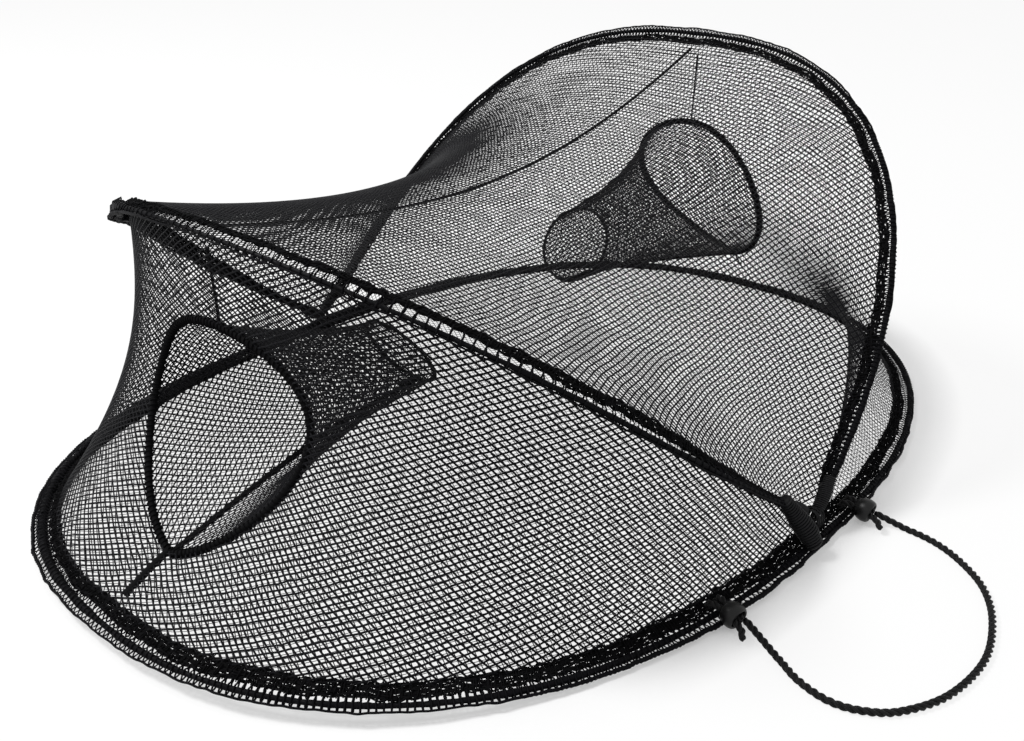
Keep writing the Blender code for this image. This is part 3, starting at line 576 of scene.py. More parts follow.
def laid_rope(name, line, diameter, material=ROPE):
    """Radius c cos a + sqrt(s^2 - c^2 sin^2 a) about three strands, a counted from the nearest strand."""
    out, lift = carried_frame(line)
    travel = travelled(line)
    turn = 2 * math.pi * np.arange(ROPE_SIDES) / ROPE_SIDES
    twist = 2 * math.pi * travel[:, None] / ROPE_LAY
    from_strand = np.mod(turn + math.pi / 3, 2 * math.pi / 3) - math.pi / 3
    centre, radius = STRAND_OFF_CENTRE, STRAND_RADIUS
    shape = centre * np.cos(from_strand) + np.sqrt(radius**2 - (centre * np.sin(from_strand)) ** 2)
    end = np.minimum(travel, travel[-1] - travel)[:, None]
    rounded = diameter * 0.35
    blunt = np.sqrt(np.clip(1 - (1 - end / rounded) ** 2, 0.25, 1.0))
    size = diameter / 2 * shape * np.where(end >= rounded, 1.0, blunt)
    section = np.stack([size * np.cos(turn + twist), size * np.sin(turn + twist)], axis=-1)
    rope = add_piece(name, *sweep(line, out, lift, section), material)
    along = np.broadcast_to(travel[:, None], (len(line), ROPE_SIDES))
    around = np.broadcast_to(turn, along.shape)
    lay = np.stack([along, np.cos(around), np.sin(around)], axis=-1)
    rope.data.attributes.new("lay", "FLOAT_VECTOR", "POINT").data.foreach_set("vector", lay.ravel())
    return rope


def turned_stop(name, stop):
    """Bead turned about its bore: rounded back, straight side, rolled lip and a dished face."""
    half, outer, bore, dish = STOP_LENGTH / 2, STOP_DIAMETER / 2, STOP_BORE / 2, STOP_DISH / 2
    profile = np.array([(-half, bore), (-half, outer * 0.60), (-half * 0.86, outer * 0.74),
                        (-half * 0.50, outer * 0.90), (-half * 0.05, outer * 0.99), (half * 0.35, outer),
                        (half * 0.75, outer * 0.94), (half * 0.96, outer * 0.84), (half * 0.98, outer * 0.79),
                        (half * 0.80, dish * 0.93), (half * 0.52, bore * 1.02), (half * 0.30, bore),
                        (-half, bore)])
    profile = smooth_path(np.column_stack([profile, np.zeros(len(profile))]), 0.0006)[:, :2]
    turn = 2 * math.pi * np.arange(56) / 56
    spokes = np.cos(turn)[:, None] * stop.along + np.sin(turn)[:, None] * stop.upright
    profile = profile[:-1]
    line = np.broadcast_to(stop.centre, spokes.shape)
    rings = line[:, None] + profile[:, :1] * stop.axis + profile[:, 1:] * spokes[:, None]
    index = np.arange(rings.shape[0] * rings.shape[1]).reshape(rings.shape[:2])
    beside, there = np.roll(index, -1, 1), np.roll(index, -1, 0)
    quads = np.stack([index, beside, np.roll(there, -1, 1), there], axis=-1).reshape(-1, 4)
    if np.dot(np.cross(stop.along, stop.upright), stop.axis) > 0:
        quads = quads[:, ::-1]
    return add_piece(name, rings.reshape(-1, 3), [quads], RUBBER)


FLOOR_LEVEL = ROPE_DIAMETER / 2 + CORD_LIFT
HANDLE_ON_FLOOR = [(-0.1040, -0.2462), (-0.1110, -0.2600), (-0.1140, -0.2760), (-0.1100, -0.2900),
                   (-0.0990, -0.3030), (-0.0750, -0.3145), (-0.0420, -0.3175), (-0.0110, -0.3095),
                   (0.0110, -0.2970), (0.0250, -0.2810), (0.0335, -0.2640), (0.0360, -0.2460)]
bore_side, face = STRAND_SPACING / 2, STOP_LENGTH / 2 + 0.0005
handle_route = [front_stop.at(bore_side, face + CLEARANCE),
                front_stop.at(bore_side, face + CLEARANCE + ROPE_DIAMETER)]
handle_route += [(x, y, FLOOR_LEVEL) for x, y in HANDLE_ON_FLOOR]
handle_route += [rear_stop.at(bore_side, face + CLEARANCE + ROPE_DIAMETER),
                 rear_stop.at(bore_side, face + CLEARANCE)]


def rope_line(route):
    line = smooth_path(route, 0.0008)
    line[:, 2] = np.maximum(line[:, 2], FLOOR_LEVEL)
    return even_line(line, 0.0008)


line, rope_length = rope_line(handle_route)
handle = laid_rope("carrying_rope", line, ROPE_DIAMETER)
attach(handle, "base")
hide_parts("handle_rope")
print("carrying rope:", round(rope_length, 4), "m")

for label, stop in (("front", front_stop), ("rear", rear_stop)):
    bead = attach(turned_stop(f"{label}_rope_stop", stop), "base")
    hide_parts(f"{label}_cord_stop")
    line, length = rope_line(stop.loop_route()[::-1])
    loop = laid_rope(f"{label}_rope_loop", line, ROPE_DIAMETER * 0.98)
    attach(loop, "base")
    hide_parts(f"{label}_cord_loop")
    print(label, "loop:", round(length, 4), "m")

# %% [markdown]
# The trap stands on a plain white floor that still shows its soft shadow. To the camera the floor is
# part glow and part plain white paint. Right beside the base hoop it glows less. That is a painted
# shadow, a grey band that deepens the lamp's real shadow where the photograph shows a grey shadow.
# Elsewhere the glow is even, and meshes and background are pure white. The world is white to the
# camera and in reflections, and gives a plain level of light otherwise. A wide lamp from behind on
# the left makes the shadow fall to the front right.

# %% Floor, world and lamps
FLOOR_SIZE = 8.0
GLOW = 0.84
# The floor's glow in the painted shadow, a grey band beside the base hoop.
GLOW_IN_PAINTED_SHADOW = 0.28
SHADE_STARTS, SHADE_ENDS = 0.90, 1.36
WORLD_LIGHT = 0.56
LAMP_PLACE = (-0.9, 1.1, 1.9)
LAMP_POWER = 40.0
LAMP_SIZE = 0.7


def seen_by_eye(finish):
    """One where the camera, a reflection or a view through glass looks, and zero for other light."""
    path = finish.node("ShaderNodeLightPath")
    seen = Signal(finish, path.outputs["Is Camera Ray"]) + Signal(finish, path.outputs["Is Glossy Ray"])
    seen = seen + Signal(finish, path.outputs["Is Transmission Ray"])
    return seen.sum("MINIMUM", seen, 1.0)


corner = FLOOR_SIZE / 2
corners = [(-corner, -corner, 0), (corner, -corner, 0), (corner, corner, 0), (-corner, corner, 0)]
floor = add_piece("studio_floor", corners, [[(0, 1, 2, 3)]], None)
paint = Finish("floor_paint", Roughness=1.0, Specular_IOR_Level=0.0)
paint.shader.inputs["Base Color"].default_value = (0.8, 0.8, 0.8, 1.0)
bright = paint.node("ShaderNodeBsdfDiffuse", None, {"Color": (1.0, 1.0, 1.0, 1.0)})
glow = paint.node("ShaderNodeEmission", None, {"Color": (1.0, 1.0, 1.0, 1.0), "Strength": 1.0})
here = paint.node("ShaderNodeSeparateXYZ", None, {0: paint.node("ShaderNodeTexCoord").outputs["Object"]})
across_floor = [Signal(paint, here.outputs[axis]) for axis in (0, 1)]
reach = [abs(place) * (1 / half) for place, half in zip(across_floor, (BASE_REACH, BASE_HALF_SPAN))]
spread = reach[0]**BASE_ROUNDNESS + reach[1]**BASE_ROUNDNESS
# Painted shadow: the floor glows less in a band just inside and outside the base hoop, so it renders grey.
beside = paint.clamped((SHADE_ENDS - spread) * 4.0) * paint.clamped((spread - SHADE_STARTS) * 6.0)
shown = paint.node("ShaderNodeMixShader", None, {0: GLOW + (GLOW_IN_PAINTED_SHADOW - GLOW) * beside,
                                                 1: bright.outputs[0], 2: glow.outputs[0]})
both = paint.node("ShaderNodeMixShader", None,
                  {0: seen_by_eye(paint), 1: paint.shader.outputs[0], 2: shown.outputs[0]})
paint.feed(paint.tree.nodes["Material Output"].inputs["Surface"], both.outputs[0])
floor.data.materials.clear()
floor.data.materials.append(paint.material)

world = bpy.data.worlds.new("studio")
scene.world = world
world.use_nodes = True
sky = Finish.__new__(Finish)
sky.tree = world.node_tree
backdrop = world.node_tree.nodes["Background"]
backdrop.inputs["Color"].default_value = (1.0, 1.0, 1.0, 1.0)
sky.feed(backdrop.inputs["Strength"], WORLD_LIGHT + (1.0 - WORLD_LIGHT) * seen_by_eye(sky))

lamp = bpy.data.objects.new("key_lamp", bpy.data.lights.new("key_lamp", "AREA"))
lamp.data.shape = "DISK"
lamp.data.size = LAMP_SIZE
lamp.data.energy = LAMP_POWER
lamp.location = LAMP_PLACE
lamp.rotation_euler = (-Vector(LAMP_PLACE)).to_track_quat("-Z", "Y").to_euler()
scene.collection.objects.link(lamp)
print("world", WORLD_LIGHT, "lamp", LAMP_POWER, "W")

# %% [markdown]
# Each hoop is a coated spring wire in a hem of folded netting. The wires are smooth tubes on the
# courses. The arches' ends are bent into small eyes at the hinge, which the lashing holds.

# %% The hoop wires
def wire_tube(course, stations, radius, closed=False):
    centre, out, lift = course.at(stations)
    return sweep(centre, out, lift, round_section(radius, 14), closed)


stations = np.linspace(0.0, base.length, 720, endpoint=False)
hoop_wire = add_piece("base_spring_wire", *wire_tube(base, stations, BASE_WIRE_RADIUS, True), WIRE)
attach(hoop_wire, "base")
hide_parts("base_hoop_wire")

EYE_RING = 0.0032
for label, course in (("front", front_arch), ("rear", rear_arch)):
    stations = np.linspace(EYE_RING, course.length - EYE_RING, 400)
    parts = [wire_tube(course, stations, ARCH_WIRE_RADIUS)]
    turn = 2 * math.pi * np.arange(36) / 36
    for end in (0.0, course.length):
        middle, out, lift = course.at(end)
        run = unit(course.at(min(max(end, 0.02), course.length - 0.02))[0] - middle)
        spokes = np.cos(turn)[:, None] * run + np.sin(turn)[:, None] * lift
        parts.append(sweep(middle + EYE_RING * spokes, spokes, np.cross(run, lift) + 0 * spokes,
                           round_section(ARCH_WIRE_RADIUS, 14), True))
    wire = add_piece(f"{label}_spring_wire", *gather(parts), WIRE)
    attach(wire, f"{label}_arch")
    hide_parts(f"{label}_arch_wire")

# %% [markdown]
# A hem is the netting's edge folded loosely round the wire and sewn to itself. From outside in, the
# photograph shows the fold's edge yarn, a row of small holes, the dark wire, a row of open meshes
# crossed by yarns of both layers, and a dense sewn band. So the hem here is yarns that go round the
# wire, a ragged core bunched round it, a thick uneven band and short stitches over that band. A hem
# isn't even along its hoop, so a table gives its sizes at shares of the hoop's length. They were
# tuned against the photograph.

# %% Hems, bands and stitches
HEM_START = 0.0070
HEM_FULL = 0.0300
RUN_SPACING = 0.00094


def wander(distance, length, wavelength, seed):
    """Smooth random number about 0, of size about 1, that closes on itself round the length."""
    dice = np.random.default_rng(seed)
    cycles = np.maximum(1, np.round(length / wavelength * dice.uniform(0.5, 1.7, 7)))
    phase, weight = dice.uniform(0, 2 * math.pi, 7), dice.uniform(0.5, 1.0, 7)
    waves = np.sin(2 * math.pi * distance[..., None] * cycles / length + phase)
    return waves @ weight / 1.9


class HemPlan:
    """Sizes of a hem along its hoop, from a table with a row for each share of the hoop's length.

    reach goes inwards from the wire to the band's inner edge, fold goes outwards past the wire, band
    is the sewn band's width, core is the radius of the netting bunched round the wire and edge that of
    the fold's edge yarn. shear is how far a crossing yarn's ends are shifted along the hoop, in pitches.
    """

    COLUMNS = ("share", "reach", "fold", "band", "core", "edge", "shear")

    def __init__(self, course, table, pitch, seed):
        self.course, self.pitch, self.seed = course, pitch, seed
        self.table = np.array(table)

    def size(self, name, distance):
        share = distance / self.course.length
        share = np.mod(share, 1.0) if self.course.closed else np.clip(share, 0.0, 1.0)
        return np.interp(share, self.table[:, 0], self.table[:, self.COLUMNS.index(name)])

    def taper(self, distance):
        if self.course.closed:
            return np.ones_like(distance)
        end = np.minimum(distance, self.course.length - distance)
        return 0.36 + 0.64 * ease((end - HEM_START) / (HEM_FULL - HEM_START))

    def reach(self, distance):
        uneven = 0.0004 * wander(distance, self.course.length, 0.060, self.seed)
        return (self.size("reach", distance) + uneven) * self.taper(distance)

    def fold(self, distance):
        uneven = 0.0003 * wander(distance, self.course.length, 0.045, self.seed + 2)
        return (self.size("fold", distance) + uneven) * self.taper(distance)

    def band(self, distance):
        uneven = 0.0004 * wander(distance, self.course.length, 0.035, self.seed + 1)
        return (self.size("band", distance) + uneven) * (0.4 + 0.6 * self.taper(distance))

    def stations(self, pitch):
        if self.course.closed:
            count = int(round(self.course.length / pitch))
            return self.course.length * np.arange(count) / count
        first = HEM_START
        count = int(round((self.course.length - 2 * first) / pitch)) + 1
        return np.linspace(first, self.course.length - first, count)


def hem_yarns(plan, width, seed):
    """Yarns that go round the wire from the band to the band, and the edge yarn that they hold."""
    dice = np.random.default_rng(seed)
    along = plan.stations(plan.pitch)
    reach, band, fold = plan.reach(along), plan.band(along), plan.fold(along)
    core = plan.size("core", along) + 0.0004
    gap = band - reach
    still = 0 * along
    out = [gap - np.minimum(band / 2, 0.0012), gap, gap * 0.55 - 0.0004, -core * 0.8, still + 0.0002,
           np.maximum(fold * 0.72, core), fold]
    rise = [still + 0.0006, still + 0.0008, still + 0.0010, core * 0.9, core, still + 0.0008, still]
    out = np.stack(out + out[-2::-1], axis=1)
    above = np.stack(rise + [-height for height in rise[-2::-1]], axis=1)
    shear = plan.size("shear", along)[:, None] * plan.pitch * (1 + 0.5 * dice.normal(size=(len(along), 1)))
    spots = (along[:, None] + shear * np.linspace(-1, 1, out.shape[1])
             + 0.04 * plan.pitch * dice.normal(size=out.shape))
    places = plan.course.place(spots, out, above)
    middle = plan.course.place(spots, out * 0.6 - 0.002, above * 0.0)
    parts = [yarns(list(places), list(unit(places - middle)), width, 0.0006)]
    dense = plan.stations(0.0011)
    wobble = 0.00016 * wander(dense, plan.course.length, 0.012, seed + 7)
    ribs = 1 + 0.22 * np.sin(2 * math.pi * np.arange(len(dense)) / 2.2)
    radius = plan.size("edge", dense) * np.where(plan.size("edge", dense) > 0.0008, ribs, 1.0)
    centre, outwards, lift = plan.course.at(dense)
    centre = centre + (plan.fold(dense) + wobble)[:, None] * outwards
    section = round_section(1.0, 6) * radius[:, None, None]
    parts.append(sweep(centre, outwards, lift, section, plan.course.closed))
    return gather(parts)


def sewn_band(plan, seed):
    """Bunched netting: wavy runs of yarn side by side, of uneven height, so that specks of light show."""
    along = plan.stations(0.0016)
    reach, band = plan.reach(along), plan.band(along)
    count = int(round(plan.table[:, 3].max() / RUN_SPACING)) + 1
    _, outwards, lift = plan.course.at(along)
    parts = []
    for run, share in enumerate(np.linspace(-0.5, 0.5, count)):
        sway = 0.00034 * wander(along, plan.course.length, 0.010, seed + 3 * run)
        rise = 0.00050 * wander(along, plan.course.length, 0.013, seed + 3 * run + 1)
        size = 0.00052 * (1 + 0.18 * wander(along, plan.course.length, 0.006, seed + 3 * run + 2))
        centre = plan.course.place(along, -(reach - band / 2) + share * band * 0.9 + sway, rise)
        section = round_section(1.0, 6) * size[:, None, None]
        parts.append(sweep(centre, outwards, lift, section, plan.course.closed))
    return gather(parts)


def stitches(plan, seed):
    """Short slanting threads over both faces of the band, at uneven spacing."""
    dice = np.random.default_rng(seed)
    parts = []
    for face in (1, -1):
        along = plan.stations(0.0019)
        along = along + 0.0006 * dice.normal(size=along.shape)
        reach, band = plan.reach(along), plan.band(along)
        share = np.array([-0.50, -0.2, 0.2, 0.50])
        uneven = 1 + 0.1 * dice.normal(size=(len(along), 1))
        out = -(reach - band / 2)[:, None] + band[:, None] * share * uneven
        above = face * (0.0008 + 0.0003 * dice.uniform(size=(len(along), 1))) * np.array([0.35, 1.0, 1.0, 0.35])
        slant = np.linspace(-0.0010, 0.0010, 4) * (1 + 0.6 * dice.normal(size=(len(along), 1)))
        spots = along[:, None] + slant * face
        places = plan.course.place(spots, out, above)
        lift = plan.course.at(spots)[2] * face
        parts.append(yarns(list(places), list(lift), 0.0007, 0.0006))
    return gather(parts)


def wrapped_core(plan, seed):
    """Netting bunched round the wire: a ragged tube a little wider than the wire."""
    along = plan.stations(0.0020)
    dice = np.random.default_rng(seed)
    swell = plan.size("core", along) * (1 + 0.10 * wander(along, plan.course.length, 0.050, seed))
    size = swell[:, None, None] * (1 + 0.09 * dice.normal(size=(len(along), 12, 1)))
    centre, outwards, lift = plan.course.at(along)
    return sweep(centre, outwards, lift, round_section(1.0, 12) * size, plan.course.closed)


base_hem = HemPlan(base, [(0.00, 0.0122, 0.0034, 0.0100, 0.0018, 0.0012, 0.04),
                          (0.03, 0.0124, 0.0048, 0.0098, 0.0016, 0.0013, 0.04),
                          (0.06, 0.0124, 0.0056, 0.0096, 0.0015, 0.0014, 0.04),
                          (0.10, 0.0118, 0.0036, 0.0088, 0.0017, 0.0011, 0.04),
                          (0.14, 0.0113, 0.0031, 0.0083, 0.0014, 0.0006, 0.05),
                          (0.20, 0.0113, 0.0033, 0.0082, 0.0013, 0.0006, 0.05),
                          (0.25, 0.0110, 0.0044, 0.0072, 0.0016, 0.0005, 0.16),
                          (0.30, 0.0104, 0.0058, 0.0058, 0.0028, 0.0010, 0.24),
                          (0.35, 0.0110, 0.0076, 0.0062, 0.0030, 0.0012, 0.24),
                          (0.40, 0.0114, 0.0084, 0.0064, 0.0030, 0.0012, 0.24),
                          (0.46, 0.0118, 0.0042, 0.0066, 0.0022, 0.0006, 0.12),
                          (0.60, 0.0116, 0.0026, 0.0060, 0.0020, 0.0005, 0.10),
                          (0.75, 0.0114, 0.0010, 0.0058, 0.0018, 0.0005, 0.10),
                          (0.90, 0.0116, 0.0018, 0.0068, 0.0018, 0.0006, 0.08),
                          (1.00, 0.0122, 0.0034, 0.0100, 0.0018, 0.0012, 0.04)], 0.0033, 11)
front_hem = HemPlan(front_arch, [(0.00, 0.0080, 0.0021, 0.0052, 0.0014, 0.0006, 0.0),
                                 (0.18, 0.0090, 0.0022, 0.0057, 0.0014, 0.0006, 0.0),
                                 (0.28, 0.0086, 0.0022, 0.0046, 0.0013, 0.0005, 0.0),
                                 (0.35, 0.0076, 0.0020, 0.0027, 0.0010, 0.0005, 0.0),
                                 (0.52, 0.0076, 0.0022, 0.0024, 0.0010, 0.0005, 0.0),
                                 (0.61, 0.0072, 0.0030, 0.0034, 0.0016, 0.0008, 0.0),
                                 (0.66, 0.0078, 0.0068, 0.0062, 0.0058, 0.0016, 0.0),
                                 (0.71, 0.0086, 0.0030, 0.0074, 0.0018, 0.0008, 0.0),
                                 (1.00, 0.0082, 0.0021, 0.0066, 0.0014, 0.0006, 0.0)], 0.0054, 23)
rear_hem = HemPlan(rear_arch, [(0.00, 0.0078, 0.0014, 0.0050, 0.0014, 0.0006, 0.0),
                               (0.30, 0.0079, 0.0014, 0.0048, 0.0014, 0.0006, 0.0),
                               (0.42, 0.0080, 0.0032, 0.0044, 0.0013, 0.0005, 0.0),
                               (0.58, 0.0080, 0.0038, 0.0044, 0.0013, 0.0005, 0.0),
                               (0.70, 0.0076, 0.0022, 0.0048, 0.0014, 0.0006, 0.0),
                               (1.00, 0.0074, 0.0016, 0.0052, 0.0014, 0.0006, 0.0)], 0.0026, 37)
hems = (("base", base_hem, 0.0010), ("front_arch", front_hem, 0.0009), ("rear_arch", rear_hem, 0.0010))
for label, plan, width in hems:
    folded = gather([hem_yarns(plan, width, plan.seed), wrapped_core(plan, plan.seed + 8)])
    hem = add_piece(f"{label}_folded_hem", *folded, HEM_YARN)
    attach(hem, label)
    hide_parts(f"{label}_hem")
    sewn = gather([sewn_band(plan, plan.seed + 5), stitches(plan, plan.seed + 6)])
    band = add_piece(f"{label}_sewn_band", *sewn, SEWING)
    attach(band, label)
    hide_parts(f"{label}_hem_band")

# %% [markdown]
# Netting that is pulled between two hoops settles like a soap film: each knot lies at the mean of
# its neighbours, weighed by the pull in each direction. That surface is found here on an even grid,
# from the inner edge of one hem to the inner edge of the other.

# %% Stretched panels
GRID_COLUMNS = 160
GRID_ROWS = 48
FRONT_WALL_PULL = 0.23
REAR_WALL_PULL = 1.235
TOP_PULL = 2.2
END_MARGIN = 0.0125
UNDER_BAND = 0.0022


def settle(grid, held, pull, passes=5000):
    """Let free knots move to the mean of their neighbours, those along the hoops weighing `pull`."""
    free = ~held
    for _ in range(passes):
        mean = grid.copy()
        beside = grid[2:, 1:-1] + grid[:-2, 1:-1]
        mean[1:-1, 1:-1] = (pull * beside + grid[1:-1, 2:] + grid[1:-1, :-2]) / (2 * pull + 2)
        grid[free] = mean[free]
    return grid


def border(shape):
    held = np.zeros(shape, dtype=bool)
    held[[0, -1], :] = held[:, [0, -1]] = True
    return held


def hem_edge(plan, stations, above):
    """Where a net leaves a hem: just under the inner edge of its band."""
    return plan.course.place(stations, -(plan.reach(stations) - UNDER_BAND), np.full_like(stations, above))


def wire_edge(plan, stations):
    """Where the front wall leaves its arch: under the wire on the near leg, so that the gap beside the
    band stays open, and at the band's inner edge on the far leg."""
    far = ease((stations / plan.course.length - 0.52) / 0.12)
    out = -0.0010 - (plan.reach(stations) - UNDER_BAND - 0.0010) * far
    return plan.course.place(stations, out, 0.0018 * far - 0.0012)


def stretched(first_edge, second_edge, pull):
    t = np.linspace(0.0, 1.0, GRID_ROWS + 1)[None, :, None]
    grid = first_edge[:, None] * (1 - t) + second_edge[:, None] * t
    return settle(grid, border(grid.shape[:2]), pull)


class Panel:
    """A surface on an even grid: s along the hoops from near to far, t from hem to hem."""

    def __init__(self, grid):
        self.grid = grid

    def at(self, s, t):
        s, t = np.broadcast_arrays(s, t)
        a = np.clip(s, 0, 1) * (self.grid.shape[0] - 1)
        b = np.clip(t, 0, 1) * (self.grid.shape[1] - 1)
        i = np.minimum(a.astype(int), self.grid.shape[0] - 2)
        j = np.minimum(b.astype(int), self.grid.shape[1] - 2)
        u, v = (a - i)[..., None], (b - j)[..., None]
        near = self.grid[i, j] * (1 - u) + self.grid[i + 1, j] * u
        far = self.grid[i, j + 1] * (1 - u) + self.grid[i + 1, j + 1] * u
        return near * (1 - v) + far * v

    def face(self, s, t):
        """Direction square to the surface."""
        s, t = np.broadcast_arrays(s, t)
        s = np.clip(s, 0.006, 0.994)
        t = np.clip(t, 0.012, 0.988)
        along = self.at(s + 0.006, t) - self.at(s - 0.006, t)
        return unit(np.cross(along, self.at(s, t + 0.012) - self.at(s, t - 0.012)))

    def nearest(self, places):
        """The s and t of the surface's places nearest to the given ones: nearest knot, then two slides."""
        flat = self.grid.reshape(-1, 3)
        knot = np.argmin(((places[:, None] - flat) ** 2).sum(axis=2), axis=1)
        s = (knot // self.grid.shape[1]) / (self.grid.shape[0] - 1)
        t = (knot % self.grid.shape[1]) / (self.grid.shape[1] - 1)
        for _ in range(3):
            here = self.at(s, t)
            along = (self.at(s + 0.004, t) - self.at(s - 0.004, t)) / 0.008
            across = (self.at(s, t + 0.01) - self.at(s, t - 0.01)) / 0.02
            gap = places - here
            aa, ab, bb = (along**2).sum(1), (along * across).sum(1), (across**2).sum(1)
            ga, gb = (gap * along).sum(1), (gap * across).sum(1)
            whole = aa * bb - ab**2
            s = np.clip(s + (bb * ga - ab * gb) / whole, 0, 1)
            t = np.clip(t + (aa * gb - ab * ga) / whole, 0, 1)
        return s, t


def inside_outline(s, t, outline):
    """True for points inside a closed outline, by counting the sides that a ray crosses."""
    crossings = np.zeros(np.shape(s), dtype=int)
    for (s0, t0), (s1, t1) in zip(outline, np.roll(outline, -1, axis=0)):
        if t0 != t1:
            spans = (t0 > t) != (t1 > t)
            crossings += spans & (s < s0 + (t - t0) * (s1 - s0) / (t1 - t0))
    return crossings % 2 == 1


share = np.linspace(0.0, 1.0, GRID_COLUMNS + 1)
arch_stations = END_MARGIN + (front_arch.length - 2 * END_MARGIN) * share
rear_arch_stations = END_MARGIN + (rear_arch.length - 2 * END_MARGIN) * share
front_base_stations = END_MARGIN + (half_way - 2 * END_MARGIN) * share
rear_base_stations = base.length - END_MARGIN - (base.length - half_way - 2 * END_MARGIN) * share

top = Panel(stretched(hem_edge(front_hem, arch_stations, 0.0006),
                      hem_edge(rear_hem, rear_arch_stations, 0.0006), TOP_PULL))
front_wall = Panel(stretched(hem_edge(base_hem, front_base_stations, 0.0006),
                             wire_edge(front_hem, arch_stations), FRONT_WALL_PULL))
rear_wall = Panel(stretched(hem_edge(base_hem, rear_base_stations, 0.0006),
                            hem_edge(rear_hem, rear_arch_stations, -0.0006), REAR_WALL_PULL))
print("panels:", top.grid.shape, front_wall.grid.shape, rear_wall.grid.shape)

# %% [markdown]
# The floor net is held by the same hem all round. It comes down from the hem to the floor in a
# couple of centimetres and lies there with shallow waves. It is cut with its meshes slanting, and its
# two sets of yarns are straight lines as seen from above.

# %% The floor's netting
FLOOR_NET_LIFT = 0.0009
SETTLE_LENGTH = 0.0130
FLOOR_YARN_SETS = ((math.radians(60), 0.0030), (math.radians(155), 0.0036))

front_edge = hem_edge(base_hem, front_base_stations, -0.0006)
rear_edge = hem_edge(base_hem, rear_base_stations, -0.0006)
floor_edge = np.concatenate([front_edge, rear_edge])
edge_turn = np.arctan2(floor_edge[:, 1], floor_edge[:, 0])
floor_edge, edge_turn = floor_edge[np.argsort(edge_turn)], np.sort(edge_turn)
edge_reach = np.hypot(floor_edge[:, 0], floor_edge[:, 1])


def floor_runs():
    """Places, facing and kept flags of both sets of floor yarns, one row for each yarn."""
    sets = []
    for heading, spacing in FLOOR_YARN_SETS:
        ahead = np.array([math.cos(heading), math.sin(heading)])
        aside = np.array([-ahead[1], ahead[0]])
        offset = spacing * np.arange(-120, 121)[:, None, None]
        flat = offset * aside + 0.0015 * np.arange(-215, 216)[:, None] * ahead
        places = np.concatenate([flat, np.zeros((*flat.shape[:2], 1))], axis=2)
        slip = drift(places.reshape(-1, 3), 0.06, 3).reshape(places.shape)
        places[..., :2] += 0.0009 * slip[..., :2]
        turn = np.arctan2(places[..., 1], places[..., 0])
        edge = np.interp(turn, edge_turn, edge_reach, period=2 * math.pi)
        room = edge - np.hypot(places[..., 0], places[..., 1])
        rim = np.interp(turn, edge_turn, floor_edge[:, 2], period=2 * math.pi)
        level = FLOOR_NET_LIFT + 0.0005 * (1 + np.clip(slip[..., 2], -1, 1.5))
        places[..., 2] = level + (rim - level) * np.exp(-np.maximum(room, 0) / SETTLE_LENGTH)
        sets.append((places, np.broadcast_to(UP, places.shape), room > 0))
    return sets


heights = floor_edge[:, 2]
print("floor edge:", len(floor_edge), "places, height", heights.min().round(4), "to", heights.max().round(4))

# %% [markdown]
# Each funnel mouth is a teardrop of cord with its point at the bottom, set in an end wall. The wall
# has to pass through that cord, so the surface inside the mouth's outline is moved to it, and the
# net round it settles again between the outline and the hems.

# %% Funnel mouths and the walls round them
MOUTH_DISH = 0.0150
MOUTH_PEAK = 0.8301


class Mouth:
    """Teardrop: height H (1 - cos t) / 2, width W/2 sin t sqrt(sin(t / 2)) / peak, dished outwards."""

    def __init__(self, point, top, width, side):
        self.point, self.rise = np.array(point), np.array(top) - np.array(point)
        self.width, self.side = width, side

    def at(self, turn):
        across = np.sin(turn) * np.sqrt(np.abs(np.sin(turn / 2))) / MOUTH_PEAK
        height = (1 - np.cos(turn)) / 2
        place = self.point + height[:, None] * self.rise + self.width / 2 * across[:, None] * ACROSS
        place[:, 0] -= self.side * MOUTH_DISH * across**2
        return place

    def evenly(self, count):
        fine = np.linspace(0.0, 2 * math.pi, 2881)
        places = self.at(fine)
        travel = travelled(places)
        targets = travel[-1] * np.arange(count) / count
        return self.at(np.interp(targets, travel, fine))

    def length(self):
        places = self.evenly(720)
        return np.linalg.norm(places - np.roll(places, 1, axis=0), axis=1).sum()


def through_mouth(panel, mouth):
    """Move the panel to the mouth's outline: smooth inside it, and a settled slope outside it."""
    ring = mouth.evenly(72)
    s, t = panel.nearest(ring)
    shift = ring - panel.at(s, t)
    rows = np.linspace(0, 1, panel.grid.shape[0])[:, None] + np.zeros(panel.grid.shape[1])
    columns = np.linspace(0, 1, panel.grid.shape[1]) + np.zeros((panel.grid.shape[0], 1))
    outline = np.stack([s, t], axis=1)
    within = inside_outline(rows, columns, outline)
    scale = np.array([0.6, 0.4])
    knots = outline[::2] * scale
    spread = np.linalg.norm(knots[:, None] - knots, axis=2)
    weights = np.linalg.solve(spread + 1e-9 * np.eye(len(knots)), shift[::2])
    asked = np.stack([rows[within], columns[within]], axis=1) * scale
    moved = np.zeros_like(panel.grid)
    moved[within] = np.linalg.norm(asked[:, None] - knots, axis=2) @ weights
    held = border(panel.grid.shape[:2]) | within
    settle(moved, held, 1.0, 4000)
    bent = Panel(panel.grid + moved)
    s, t = bent.nearest(ring)
    off = np.linalg.norm(ring - bent.at(s, t), axis=1).max()
    print("wall passes the mouth within", round(off * 1000, 2), "mm")
    return bent, np.stack([s, t], axis=1)


front_mouth = Mouth((-0.2615, 0.000, 0.0275), (-0.2180, 0.000, 0.1330), 0.118, -1)
rear_mouth = Mouth((0.2810, 0.015, 0.0350), (0.1760, 0.000, 0.1630), 0.093, 1)
front_wall, front_hole = through_mouth(front_wall, front_mouth)
rear_wall, rear_hole = through_mouth(rear_wall, rear_mouth)

# %% [markdown]
# The netting has meshes of about 3 mm. Its yarns can't be a bump or a see-through pattern, because
# the photograph looks through two or three layers at once and their crossings make the pattern of
# dots. So each yarn is a thin closed tube. The top's yarns run from hem to hem and along the trap.
# The front wall is cut on the bias, so its meshes stand as diamonds that are pulled wide along the
# hoop. Slow waves and small slips of the knots keep the netting from looking printed. Each net has its
# own yarn width and thickness, chosen so that it looks about as dark as in the photograph.

